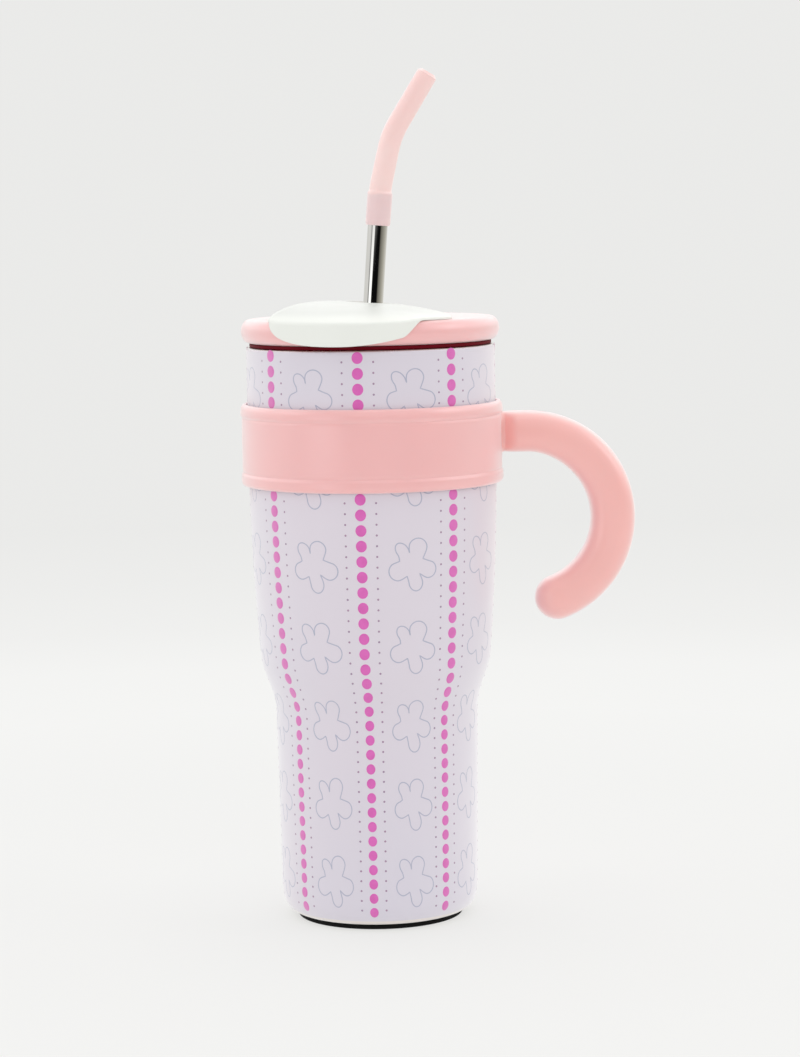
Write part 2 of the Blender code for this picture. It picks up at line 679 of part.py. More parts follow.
def make_cover(material, parent):
    rings = []
    for degrees in [-180, *COVER_CUTS]:
        azimuth = math.radians(degrees)
        rings.append([polar(r, azimuth, z) for r, z in cover_section(degrees)])
    add_object("rotating_cover", skinned_mesh("rotating_cover", rings, True), material, parent)


def make_sip_plug(material, parent):
    margin = 0.5 * MM
    mesh = sector_mesh(
        "sip_plug",
        SIP_INNER - margin,
        SIP_OUTER + margin,
        SIP_HALF_ANGLE + math.radians(2),
        LID_TOP + GAP,
        SIP_PLUG_TOP,
    )
    add_object("sip_plug", mesh, material, parent)


# Straw


def straw_point(along):
    """A point on the leaning straw's axis, measured from where it crosses the cup's axis."""
    return (math.sin(STRAW_LEAN) * along, 0, STRAW_CROSSING + math.cos(STRAW_LEAN) * along)


def along_straw(height):
    return (height - STRAW_CROSSING) / math.cos(STRAW_LEAN)


def make_straw_tube(material, parent):
    bottom, top = along_straw(STRAW_BOTTOM), along_straw(STRAW_TOP)
    inner = STRAW_RADIUS - STRAW_WALL
    profile = [(STRAW_RADIUS, top), (STRAW_RADIUS, bottom), (inner, bottom), (inner, top)]
    mesh = turned_mesh("straw_tube", profile, FINE_SEGMENTS)
    add_object("straw_tube", mesh, material, parent)


def tip_path():
    """Centre line of the mouthpiece in its own plane, as (across, along, lean) samples."""
    start = Vector((0, 0))
    sleeve_end = Vector((0, SLEEVE_LENGTH))
    lower = Vector((math.sin(TIP_LOWER_LEAN), math.cos(TIP_LOWER_LEAN)))
    upper = Vector((math.sin(TIP_UPPER_LEAN), math.cos(TIP_UPPER_LEAN)))
    elbow = sleeve_end + lower * TIP_LOWER_LENGTH
    end = elbow + upper * TIP_UPPER_LENGTH
    points = [start, sleeve_end]
    first = corner(start, sleeve_end + lower * 3 * MM, elbow, 2.5 * MM, 2.5 * MM, 2)
    second = corner(sleeve_end, elbow, end, 5 * MM, 5 * MM, 4)
    points += [Vector(p) for p in first + second]
    return points + [end - upper * 0.8 * MM, end]


def tip_ring(points, index, radius, count=16):
    before = points[max(index - 1, 0)]
    after = points[min(index + 1, len(points) - 1)]
    lean = math.atan2(after.x - before.x, after.y - before.y)
    centre = Vector((points[index].x, 0, points[index].y))
    across = Vector((math.cos(lean), 0, -math.sin(lean)))
    angles = [math.tau * i / count for i in range(count)]
    return [centre + across * radius * math.cos(a) + Vector((0, radius * math.sin(a), 0)) for a in angles]


def tip_radius(points, index):
    share = points[index].y / points[-1].y
    return TIP_RADIUS + (TIP_END_RADIUS - TIP_RADIUS) * share


def make_straw_tip(material, parent):
    """A silicone tube with a wider sleeve that pushes over the steel straw."""
    points = tip_path()
    last = len(points) - 1
    bore = STRAW_RADIUS + GAP
    outer = [tip_ring(points, 0, SLEEVE_RADIUS), tip_ring(points, 1, SLEEVE_RADIUS)]
    outer += [tip_ring(points, i, tip_radius(points, i)) for i in range(2, last)]
    outer.append(tip_ring(points, last, TIP_END_RADIUS - 0.7 * MM))
    inner = [tip_ring(points, i, TIP_BORE) for i in range(last, 1, -1)]
    inner += [tip_ring(points, 1, bore), tip_ring(points, 0, bore)]
    add_object("straw_tip", skinned_mesh("straw_tip", outer + inner, True), material, parent)


def main():
    clear_scene()
    pink = make_material("pink_plastic", PINK, roughness=0.45)
    soft_pink = make_material("pink_soft_touch", PINK, roughness=0.6)
    print_coat = make_material("printed_coat", LAVENDER, roughness=0.4)
    steel = make_material("steel", STEEL, metallic=1.0, roughness=0.3)
    polished = make_material("polished_steel", STEEL, metallic=1.0, roughness=0.12)
    white = make_material("white_plastic", WHITE, roughness=0.35)
    inner_plastic = make_material("lid_inner_plastic", PINK, roughness=0.5)
    silicone = make_material("pink_silicone", PINK, roughness=0.55)
    seal_silicone = make_material("seal_silicone", MAROON, roughness=0.5)
    rubber = make_material("pad_rubber", BLACK, roughness=0.8)

    make_outer_shell(print_coat)
    make_inner_liner(steel)
    make_base(steel, rubber, white)

    handle = add_empty("handle_ring_axis", (0, 0, 0))
    make_handle_band(pink, handle)
    make_hook(inner_plastic, soft_pink, handle)
    make_handle_screws(steel, handle)

    lid = add_empty("lid_axis", (0, 0, 0))
    make_lid_top(pink, lid)
    make_lid_base(inner_plastic, lid)
    make_lid_seal(seal_silicone, lid)
    make_grommet(silicone, lid)
    make_cover_retainer(steel, lid)

    cover = add_empty("cover_pivot", (0, 0, 0), lid)
    make_cover(white, cover)
    make_sip_plug(silicone, cover)

    straw = add_empty("straw_axis", (0, 0, STRAW_CROSSING), lid, (0, STRAW_LEAN, 0))
    make_straw_tube(polished, straw)
    tip = add_empty("tip_axis", (0, 0, along_straw(TIP_BOTTOM)), straw)
    make_straw_tip(silicone, tip)


main()
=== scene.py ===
"""Insulated tumbler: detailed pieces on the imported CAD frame, with their materials, lights and camera.

Lengths are in millimetres until a mesh or a node needs metres. The lights and the camera are placed in
metres. Azimuths run from -Y towards +X.
"""

import math

import bmesh
import bpy
import numpy as np
from mathutils import Matrix, Vector


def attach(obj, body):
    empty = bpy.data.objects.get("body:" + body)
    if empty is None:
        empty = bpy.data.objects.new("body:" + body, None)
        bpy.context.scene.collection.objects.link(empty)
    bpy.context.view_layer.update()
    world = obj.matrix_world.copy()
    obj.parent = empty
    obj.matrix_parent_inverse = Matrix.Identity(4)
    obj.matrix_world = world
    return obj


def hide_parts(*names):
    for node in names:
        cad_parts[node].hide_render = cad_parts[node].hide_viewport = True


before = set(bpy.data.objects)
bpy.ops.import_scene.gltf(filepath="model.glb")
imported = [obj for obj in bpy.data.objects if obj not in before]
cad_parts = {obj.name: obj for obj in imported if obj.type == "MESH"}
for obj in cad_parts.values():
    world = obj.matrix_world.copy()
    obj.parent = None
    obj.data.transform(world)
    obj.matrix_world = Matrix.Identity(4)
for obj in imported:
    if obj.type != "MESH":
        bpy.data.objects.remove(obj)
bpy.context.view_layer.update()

MM = 0.001
TURNS = 256  # facets round the large turned pieces

# Cup. A BEND is how far before and after a corner its rounding starts
CUP_RADIUS, CUP_TOP = 50.0, 232.3
STRAIGHT_END, SHOULDER_TOP, SHOULDER_RADIUS = 190.0, 107.0, 46.6
SHOULDER_BOTTOM, FOOT_TOP_RADIUS, FOOT_RADIUS = 88.6, 40.95, 39.7
SHOULDER_BEND, WAIST_BEND, HEEL_BEND = 3.4, 4.6, 12.0
SHELL_BOTTOM, SHELL_WALL, SHELL_HEEL_RISE = 2.1, 0.6, 6.5
LIP_WIDTH, LIP_BEND, LIP_COATED = 2.6, (1.1, 2.0), 0.9
BASE_HOLE, BASE_FLANGE = 32.6, 4.0
LINER_INSET, LINER_WALL, LINER_BOTTOM, LINER_HEEL_RISE = 2.9, 0.5, 9.0, 9.0
PAD_RADIUS, PAD_HEIGHT = 33.5, 1.8
PAD_RINGS, PAD_RING_DEPTH = (8.0, 14.0, 20.0, 26.0), 0.35

# Handle
BAND_BOTTOM, BAND_TOP = 176.7, 209.5
BAND_INNER, BAND_OUTER, BAND_LIP = 50.4, 52.5, 52.95
BAND_LIP_HEIGHT, BAND_GROOVE = 5.4, 0.3
BAND_TOP_BEND, BAND_BOTTOM_BEND = (2.0, 3.8), (2.2, 1.9)
HOOK_X, HOOK_Z, HOOK_RADIUS, HOOK_END = 62.0, 161.4, 35.0, math.radians(-70)
GRIP_DEPTH, ROOT_DEPTH, GRIP_WIDTH = 9.0, 8.3, 9.6
NECK_DEPTH, NECK_WIDTH, NECK_FILLET, NECK_END = 8.1, 6.9, 1.3, 59.0
GRIP_FULLNESS = 2.7  # 2 gives an ellipse, and more gives a squarer section

# Lid
LID_TOP, LID_BOTTOM, LID_RADIUS, LID_FLAT = 243.4, 234.0, 52.0, 48.5
LID_WALL, HUB_BORE = 2.0, 12.4
PLUG_RADIUS, PLUG_BOTTOM, PLUG_WALL, PLUG_FLANGE = 44.6, 224.5, 1.8, 48.6
TUBE_BORE, TUBE_OUTER, TUBE_TOP = 7.6, 9.3, 247.0
SEAL_TOP, SEAL_RADIUS, SEAL_FIN, SEAL_FIN_HEIGHTS = 233.9, 48.7, 46.2, (230.6, 227.8)
SIP_INNER, SIP_OUTER, SIP_ANGLE, SIP_CORNER = 35.0, 43.0, math.radians(10), 1.6
SIP_AZIMUTH = math.radians(-15.5)
GROMMET_BOTTOM, GROMMET_TOP = 239.5, 248.0

# Turning cover. Its outline seen from above is given as (azimuth in degrees, radius)
COVER_BACK_LEFT = ((-180, 34.0), (-150, 34.6), (-120, 36.6), (-95, 39.4), (-80, 40.6), (-68, 43.1))
COVER_NOSE = ((-58, 47.2), (-51, 51.4), (-47.5, 53.2), (-43, 53.6))
COVER_TAIL = ((14, 53.6), (19, 53.0), (24.5, 50.2), (30, 49.2), (38, 48.9), (42, 47.6), (46, 44.8))
COVER_BACK_RIGHT = ((52, 41.0), (60, 36.4), (72, 32.6), (90, 30.7), (120, 31.4), (150, 33.0), (180, 34.0))
COVER_PLAN = COVER_BACK_LEFT + COVER_NOSE + COVER_TAIL + COVER_BACK_RIGHT
SKIRT_LOWEST, SKIRT_LEFT, SKIRT_SAG = -14.0, 34.3, 48.0
SKIRT_RISE_START, SKIRT_RISE, SKIRT_DROP, SKIRT_WALL = 13.6, 10.7, 9.55, 1.0
COVER_UNDER, COVER_EDGE, SKIRT_EDGE, COVER_TOP = 243.45, 244.4, 242.9, 250.6
COVER_PEAK_X, COVER_TILT, COVER_WALL, EDGE_ROUNDING = -17.0, 0.06, 1.6, 0.9
CROWN_SHADE_HEIGHTS = (244.0, 247.5)  # painted shade: the top's colour darkens between these heights, to hold down the light it gets from above
HUB_OUTER, HUB_INNER, HUB_BOTTOM, HUB_GROOVE, HUB_GROOVE_HEIGHT = 12.0, 9.8, 238.2, 11.3, 2.2

# Straw
STRAW_RADIUS, STRAW_WALL, STRAW_GAP, STRAW_LEAN = 4.0, 0.5, 0.3, math.radians(4.46)
STRAW_CROSSING = 230.4  # the height at which its axis crosses the cup's
STRAW_BOTTOM, STRAW_TOP, TIP_BOTTOM = 13.0, 292.6, 280.2
SLEEVE_LENGTH, SLEEVE_RADIUS, TIP_RADIUS, TIP_END_RADIUS, TIP_BORE = 13.6, 5.05, 4.6, 4.25, 2.7
TIP_LOWER, TIP_LOWER_LEAN = 22.8, math.radians(8.4)
TIP_UPPER, TIP_UPPER_LEAN = 29.0, math.radians(27.1)
TIP_LOWER_BEND, TIP_UPPER_BEND = 2.6, 5.5

# Print
FILM_EDGE = (4.0, 4.3)  # heights between which the printed film starts
COLUMN_TURNS = [math.radians(turn) for turn in (0, 45, 97, 141, 185, 229, 271, 314)]
# The front column's (height, azimuth in degrees)
COLUMN_DRIFT = ((0, -3.8), (85, -4.3), (98, -4.7), (112, -5.5), (240, -6.0))
DOT_TOP, DOT_PITCH_UPPER, DOT_PITCH_LOWER = 229.5, 6.13, 5.81
SIDE_LIFT = 0.5  # how much higher the dots sit in every column but the front one
DOT_LOWEST = 7.0
DOT_ANGLE, DOT_HEIGHT = math.radians(5.0), 4.65
FINE_ANGLE, FINE_SIZE = math.radians(7.1), 0.85
FINE_SHARE, FINE_OFFSET = 0.69, -1.6  # pitch as a share of the big dots', and the first one's place
FLOWER_HEIGHTS = (214.6, 181.3, 147.9, 115.2, 83.2, 51.6, 20.2)
FLOWER_LINE, FLOWER_BROADEN = 0.5, 1.05
FLOWER_PLACES = (0.53, 0.42, 0.5, 0.5, 0.5, 0.5, 0.5, 0.5)  # share of the way to the next column
INK_RISE = 0.05
# Each petal of the line flower: direction in degrees, length, width at its broadest
PETALS = ((75, 10.5, 6.9), (-17, 9.9, 6.8), (-82, 10.5, 5.4), (-160, 9.6, 7.0), (126, 10.8, 4.8))
# The inner corner after each petal: direction in degrees, distance
NOTCHES = ((33, 4.6), (-53, 4.2), (-121, 4.9), (161, 5.7), (107, 5.2))
ARC_STEPS = 7

# Stage. The floor's painted light is given as (share of its radius, display level): brightest about half
# a metre out, then falling off
FLOOR_RADII = (0, 150, 400, 800, 1200, 1800, 2600)
FLOOR_LIGHT_LEVELS = ((0.0, 238), (0.065, 239), (0.12, 241), (0.2, 245), (0.27, 244), (0.34, 240), (0.45, 237))
FLOOR_LIGHT_LEVELS += ((0.6, 234.5),)
FLOOR_YELLOW = 1.5  # how far blue falls below red and green
# The studio's walls as (azimuth in degrees, brightness, warmth), and the sky's brightness over them
WALLS = ((-180, 0.85, 0.03), (-76, 0.85, 0.03), (-68, 0.25, 0.0), (-62, 0.25, 0.0), (-55, 1.6, 0.0))
WALLS += ((-31, 1.6, 0.0), (-27, 0.005, 0.0), (34, 0.005, 0.0), (46, 0.2, 0.2), (92, 0.5, 0.16))
WALLS += ((130, 0.75, 0.1), (180, 0.85, 0.03))
WALL_TOP = (0.1, 0.24)  # upward share of the directions between which wall turns into sky
SKY_FRONT, SKY_BACK = 0.65, 1.4
BACKDROP = (234.5, 234.5, 233)
# Each light: name, place, size, power in watts, whether reflections show it
LIGHTS = (
    ("overhead", (0.0, -0.35, 1.5), (0.5, 0.5), 1.0, True),
    ("left_softbox", (-1.3, -0.3, 0.95), (0.7, 0.7), 1.4, True),
    ("right_softbox", (1.3, -0.3, 0.95), (0.7, 0.7), 2.2, True),
    ("front_fill", (0.3, -1.6, 0.5), (1.2, 1.0), 5.4, False),
)
LIGHT_TARGET = Vector((0, 0, 0.15))
CAMERA_PLACE, CAMERA_LENS = (0, -1.27305, 0.29003), 107.5
CAMERA_TILT, CAMERA_YAW, CAMERA_ROLL = math.radians(5.937), math.radians(0.479), math.radians(-1.029)


# Meshes


def rounded(points, sizes, steps=6, closed=True):
    """An outline with each corner rounded by a quadratic curve that starts sizes[i] away from it."""
    count = len(points)
    outline = []
    for i, point in enumerate(points):
        here = Vector(point)
        ends = not closed and i in (0, count - 1)
        if ends or not sizes[i]:
            outline.append(tuple(here))
            continue
        before, after = Vector(points[i - 1]), Vector(points[(i + 1) % count])
        reach_in, reach_out = sizes[i] if isinstance(sizes[i], tuple) else (sizes[i], sizes[i])
        start = here + (before - here).normalized() * reach_in
        end = here + (after - here).normalized() * reach_out
        for step in range(steps + 1):
            t = step / steps
            outline.append(tuple((1 - t) ** 2 * start + 2 * t * (1 - t) * here + t * t * end))
    return outline


def polar(radius, azimuth, height):
    return (radius * math.sin(azimuth), -radius * math.cos(azimuth), height)


def mesh_of(name, points, faces):
    mesh = bpy.data.meshes.new(name)
    mesh.from_pydata([tuple(np.asarray(p, float) * MM) for p in points], [], faces)
    bm = bmesh.new()
    bm.from_mesh(mesh)
    bmesh.ops.remove_doubles(bm, verts=bm.verts, dist=1e-7)
    bmesh.ops.dissolve_degenerate(bm, edges=bm.edges, dist=1e-8)
    bmesh.ops.recalc_face_normals(bm, faces=bm.faces)
    bm.to_mesh(mesh)
    bm.free()
    return mesh


def skin(name, rings, closed=False, caps=True):
    """Quads between successive point rings: a loop of rings, or a run with capped ends."""
    count = len(rings[0])
    points = [p for ring in rings for p in ring]
    faces = []
    pairs = len(rings) if closed else len(rings) - 1
    for i in range(pairs):
        a, b = i * count, ((i + 1) % len(rings)) * count
        for j in range(count):
            k = (j + 1) % count
            faces.append((a + j, a + k, b + k, b + j))
    if caps and not closed:
        faces.append(tuple(range(count)))
        faces.append(tuple(range(len(points) - count, len(points))))
    return mesh_of(name, points, faces)


def turned(name, outline, turns=TURNS):
    rings = [[polar(r, math.tau * i / turns, z) for r, z in outline] for i in range(turns)]
    return skin(name, rings, closed=True)


def add_piece(name, mesh, body, looks, replaced=(), angle=30):
    """A visible piece that rides a CAD body, in place of the CAD nodes it replaces."""
    piece = bpy.data.objects.new(name, mesh)
    bpy.context.scene.collection.objects.link(piece)
    mesh.shade_smooth()
    mesh.set_sharp_from_angle(angle=math.radians(angle))
    mesh.materials.clear()
    for look in looks:
        mesh.materials.append(MATERIALS[look])
    if replaced:
        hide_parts(*replaced)
    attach(piece, body)
    return piece


def cut(mesh, cutter_mesh, name):
    """The mesh with another one taken out of it."""
    obj = bpy.data.objects.new(name, mesh)
    cutter = bpy.data.objects.new(name + "_cut", cutter_mesh)
    for item in (obj, cutter):
        bpy.context.scene.collection.objects.link(item)
    modifier = obj.modifiers.new("cut", "BOOLEAN")
    modifier.solver = "EXACT"
    modifier.object = cutter
    bpy.context.view_layer.update()
    graph = bpy.context.evaluated_depsgraph_get()
    result = bpy.data.meshes.new_from_object(obj.evaluated_get(graph))
    for item in (obj, cutter):
        bpy.data.objects.remove(item)
    result.name = name
    return result


def smooth_step(value):
    value = min(1.0, max(0.0, value))
    return value * value * (3 - 2 * value)


def smooth_through(points, position):
    """A smooth curve through (position, value) points that never swings past them."""

    def slope(i):
        if i in (0, len(points) - 1):
            return 0.0
        (a, value_a), (b, value_b), (c, value_c) = points[i - 1 : i + 2]
        before, after = (value_b - value_a) / (b - a), (value_c - value_b) / (c - b)
        return 2 * before * after / (before + after) if before * after > 0 else 0.0

    i = max(k for k in range(len(points) - 1) if points[k][0] <= position)
    (a, value_a), (b, value_b) = points[i], points[i + 1]
    t = (position - a) / (b - a)
    bend = slope(i) * (t**3 - 2 * t**2 + t) + slope(i + 1) * (t**3 - t**2)
    return value_a + (value_b - value_a) * smooth_step(t) + (b - a) * bend


# Materials


def srgb(red, green, blue):
    """Linear colour of an 8-bit display colour."""
    values = [c / 255 for c in (red, green, blue)]
    linear = [c / 12.92 if c <= 0.04045 else ((c + 0.055) / 1.055) ** 2.4 for c in values]
    return (*linear, 1.0)


def metres(*lengths):
    return [length * MM for length in lengths]


class Nodes:
    """Short forms of what a material's node tree and the world's both need."""

    def __init__(self, tree):
        self.tree = tree

    def node(self, kind, **settings):
        node = self.tree.nodes.new(kind)
        for key, value in settings.items():
            setattr(node, key, value)
        return node

    def feed(self, socket, value):
        """Links an output to the socket, or gives the socket a constant."""
        if hasattr(value, "is_output"):
            self.tree.links.new(value, socket)
        else:
            socket.default_value = value

    def calculate(self, operation, *values):
        node = self.node("ShaderNodeMath", operation=operation)
        for socket, value in zip(node.inputs, values):
            self.feed(socket, value)
        return node.outputs[0]

    def split(self, vector):
        node = self.node("ShaderNodeSeparateXYZ")
        self.feed(node.inputs[0], vector)
        return node.outputs

    def map_range(self, value, source, target=(0.0, 1.0), smooth=False):
        """Maps the span source to the span target, and stops at its ends."""
        curve = "SMOOTHSTEP" if smooth else "LINEAR"
        node = self.node("ShaderNodeMapRange", clamp=True, interpolation_type=curve)
        self.feed(node.inputs["Value"], value)
        for socket, number in zip(("From Min", "From Max", "To Min", "To Max"), (*source, *target)):
            node.inputs[socket].default_value = number
        return node.outputs["Result"]

    def mix(self, factor, first, second):
        """A colour between two others."""
        node = self.node("ShaderNodeMix", data_type="RGBA")
        for index, value in ((0, factor), (6, first), (7, second)):
            self.feed(node.inputs[index], value)
        return node.outputs[2]

    def color_ramp(self, value, stops):
        """The colour at value of a ramp through stops of (position, colour)."""
        node = self.node("ShaderNodeValToRGB")
        elements = node.color_ramp.elements
        while len(elements) < len(stops):
            elements.new(0.5)
        for element, (position, color) in zip(elements, stops):
            element.position = position
            element.color = color
        self.feed(node.inputs["Fac"], value)
        return node.outputs["Color"]


class Surface(Nodes):
    """A Principled material with helpers that add procedural detail in object space."""

    NOISE_SPAN = (0.35, 0.65)  # where most of a noise texture's values lie

    def __init__(self, name, color, roughness, metallic=0.0, specular=0.5):
        self.material = bpy.data.materials.new(name)
        self.material.use_nodes = True
        super().__init__(self.material.node_tree)
        self.shader = self.tree.nodes["Principled BSDF"]
        self.color = color
        self.roughness = roughness
        self.set({"Base Color": color, "Roughness": roughness})
        self.set({"Metallic": metallic, "Specular IOR Level": specular})
        self.space = self.node("ShaderNodeTexCoord").outputs["Object"]

    def set(self, values):
        for socket, value in values.items():
            self.feed(self.shader.inputs[socket], value)

    def height(self):
        return self.split(self.space)["Z"]

    def noise(self, scale, detail, stretch=None):
        node = self.node("ShaderNodeTexNoise")
        node.inputs["Scale"].default_value = scale
        node.inputs["Detail"].default_value = detail
        source = self.space
        if stretch:
            mapping = self.node("ShaderNodeMapping")
            mapping.inputs["Scale"].default_value = stretch
            self.feed(mapping.inputs["Vector"], source)
            source = mapping.outputs["Vector"]
        self.feed(node.inputs["Vector"], source)
        return node.outputs["Fac"]

    def mottled(self, color, other, scale, amount):
        """A colour that noise moves towards another one by up to amount."""
        factor = self.map_range(self.noise(scale, 3.0), self.NOISE_SPAN, (0.0, amount))
        return self.mix(factor, color, other)

    def tint(self, other, scale, amount):
        self.set({"Base Color": self.mottled(self.color, other, scale, amount)})

    def vary_roughness(self, spread, scale):
        limits = (self.roughness - spread, self.roughness + spread)
        self.set({"Roughness": self.map_range(self.noise(scale, 4.0), self.NOISE_SPAN, limits)})

    def grain(self, *layers):
        """Bump from layers of (noise scale, depth, detail), each with or without a stretch."""
        normal = None
        for scale, depth, detail, *stretch in layers:
            bump = self.node("ShaderNodeBump")
            bump.inputs["Distance"].default_value = depth * MM
            bump.inputs["Strength"].default_value = 1.0
            self.feed(bump.inputs["Height"], self.noise(scale, detail, *stretch))
            if normal:
                self.feed(bump.inputs["Normal"], normal)
            normal = bump.outputs["Normal"]
        self.set({"Normal": normal})


def shaded(color, share):
    """The colour made lighter by this share, or darker where the share is negative."""
    return (*[min(1.0, c * (1 + share)) for c in color[:3]], 1.0)


PRINT_FINISH = {"Coat Weight": 0.25, "Coat Roughness": 0.3, "Sheen Weight": 0.9, "Sheen Roughness": 0.5}


def coat_material():
    """Satin powder coat with a transfer film that stops just above the foot."""
    coat = Surface("printed_coat", srgb(222, 214, 224), 0.42, specular=0.45)
    film = coat.map_range(coat.height(), metres(*FILM_EDGE), smooth=True)
    mottled = coat.mottled(coat.color, srgb(216, 212, 224), 9.0, 0.7)
    coat.set({"Base Color": coat.mix(film, srgb(231, 222, 217), mottled)})
    coat.set(PRINT_FINISH)
    coat.vary_roughness(0.05, 60.0)
    coat.grain((900.0, 0.012, 2.0), (120.0, 0.02, 2.0))
    return coat.material


def ink_material(name, color, other):
    ink = Surface(name, color, 0.38, specular=0.45)
    ink.tint(other, 260.0, 0.8)
    ink.set(PRINT_FINISH)
    ink.vary_roughness(0.05, 300.0)
    ink.grain((1500.0, 0.006, 2.0))
    return ink.material


def plastic_material(name, color, roughness, grain=0.01, subsurface=0.0, specular=0.45, sheen=0.6):
    """Moulded plastic or rubber. One that light enters also gets a soft sheen and a clear skin."""
    plastic = Surface(name, color, roughness, specular=specular)
    plastic.tint(shaded(color, 0.08), 16.0, 0.8)
    plastic.vary_roughness(0.05, 90.0)
    plastic.grain((1400.0, grain, 3.0), (90.0, 0.03, 1.0))
    if subsurface:
        plastic.set({"Subsurface Weight": subsurface, "Subsurface Scale": 0.003})
        plastic.set({"Subsurface Radius": (1.0, 0.45, 0.4)})
        plastic.set({"Sheen Weight": sheen, "Sheen Roughness": 0.5})
        plastic.set({"Coat Weight": 1.0, "Coat IOR": 1.75, "Coat Roughness": 0.32})
    return plastic.material


def cover_material():
    """White plastic, with painted shade that darkens its crown against the strong light from above."""
    white = Surface("white_plastic", srgb(240, 242, 236), 0.36, specular=0.4)
    crown = white.map_range(white.height(), metres(*CROWN_SHADE_HEIGHTS), smooth=True)
    # painted shade: towards the crown the white turns to this darker grey
    base = white.mix(crown, white.color, srgb(221, 223, 218))
    white.set({"Base Color": white.mottled(base, srgb(232, 234, 229), 16.0, 0.2)})
    white.vary_roughness(0.05, 90.0)
    white.grain((1400.0, 0.008, 3.0), (90.0, 0.03, 1.0))
    return white.material


def tip_material():
    """Pale pink silicone, greyer where the thin sleeve lets the steel show through."""
    solid, thin = srgb(252, 213, 209), srgb(236, 204, 205)
    tip = Surface("tip_silicone", solid, 0.5, specular=0.4)
    above_straw = tip.map_range(tip.height(), metres(STRAW_TOP - 0.6, STRAW_TOP + 0.8), smooth=True)
    base = tip.mix(above_straw, thin, solid)
    tip.set({"Base Color": tip.mottled(base, shaded(solid, 0.3), 40.0, 0.25)})
    tip.set({"Subsurface Weight": 0.1, "Subsurface Scale": 0.0015})
    tip.set({"Subsurface Radius": (1.0, 0.5, 0.45)})
    tip.set({"Coat Weight": 0.6, "Coat IOR": 1.6, "Coat Roughness": 0.35})
    tip.set({"Sheen Weight": 0.8, "Sheen Roughness": 0.4})
    tip.vary_roughness(0.06, 120.0)
    tip.grain((1200.0, 0.004, 2.0), (160.0, 0.02, 2.0))
    return tip.material


def polished_material():
    """A drawn steel tube, with fine lines along Z."""
    color = (0.74, 0.735, 0.71, 1.0)
    steel = Surface("polished_steel", color, 0.045, metallic=1.0)
    steel.tint(shaded(color, -0.12), 30.0, 0.8)
    steel.vary_roughness(0.015, 120.0)
    steel.grain((1.0, 0.0006, 3.0, (900.0, 900.0, 10.0)))
    return steel.material


def steel_material():
    """Steel turned round Z, with a fine ring at each height."""
    color = (0.62, 0.61, 0.60, 1.0)
    steel = Surface("steel", color, 0.28, metallic=1.0)
    steel.tint(shaded(color, -0.15), 25.0, 0.8)
    steel.vary_roughness(0.05, 100.0)
    steel.grain((1.0, 0.006, 3.0, (6.0, 6.0, 2600.0)), (14.0, 0.05, 2.0))
    return steel.material


MATERIALS = {
    "coat": coat_material(),
    "ink_pink": ink_material("ink_pink", srgb(221, 98, 186), srgb(213, 88, 176)),
    "ink_blue": ink_material("ink_blue", srgb(174, 176, 197), srgb(183, 181, 201)),
    "ink_grey": ink_material("ink_grey", srgb(168, 132, 160), srgb(150, 128, 156)),
    "pink": plastic_material("pink_plastic", srgb(243, 181, 180), 0.34, 0.012, 0.12),
    "soft_pink": plastic_material("pink_soft_touch", srgb(247, 181, 175), 0.4, 0.016, 0.15, sheen=1.0),
    "inner_pink": plastic_material("lid_inner_plastic", srgb(236, 184, 182), 0.48),
    "white": cover_material(),
    "seal": plastic_material("seal_silicone", srgb(104, 8, 24), 0.6, specular=0.08),
    "rubber": plastic_material("pad_rubber", srgb(12, 11, 11), 0.75, 0.03, specular=0.15),
    "grommet": plastic_material("pink_silicone", srgb(240, 190, 188), 0.5, 0.01, 0.3),
    "tip": tip_material(),
    "steel": steel_material(),
    "polished": polished_material(),
    "glass": plastic_material("sealing_glass", srgb(225, 228, 222), 0.3),
}


# Cup


def bulge_radius(height):
    """The wall's outer radius above the shoulder, where it slowly narrows downwards."""
    fall = max(0.0, STRAIGHT_END - height) / (STRAIGHT_END - SHOULDER_TOP)
    return CUP_RADIUS - (CUP_RADIUS - SHOULDER_RADIUS) * fall**2


def cup_wall(inset, bottom, heel_rise):
    """The cup's outline from the straight part down to the flat bottom, moved in by inset."""
    steps = 40
    heights = [STRAIGHT_END - (STRAIGHT_END - SHOULDER_TOP) * i / steps for i in range(steps)]
    upper = [(bulge_radius(height) - inset, height) for height in heights]
    lower = [
        upper[-1],
        (SHOULDER_RADIUS - inset - 0.25, SHOULDER_TOP - 3),
        (FOOT_TOP_RADIUS - inset, SHOULDER_BOTTOM),
        (FOOT_RADIUS - inset, bottom),
        (0, bottom),
    ]
    bends = (0, SHOULDER_BEND, WAIST_BEND, (HEEL_BEND, heel_rise), 0)
    return upper[:-1] + rounded(lower, bends, steps=14, closed=False)[:-1]


OUTER_WALL = [(CUP_RADIUS, CUP_TOP), (CUP_RADIUS, STRAIGHT_END)]
OUTER_WALL += cup_wall(0.0, SHELL_BOTTOM, SHELL_HEEL_RISE)
WALL_HEIGHTS = np.array([z for _, z in OUTER_WALL])[::-1]
WALL_RADII = np.array([r for r, _ in OUTER_WALL])[::-1]


def wall_radius(height):
    return float(np.interp(height, WALL_HEIGHTS, WALL_RADII))


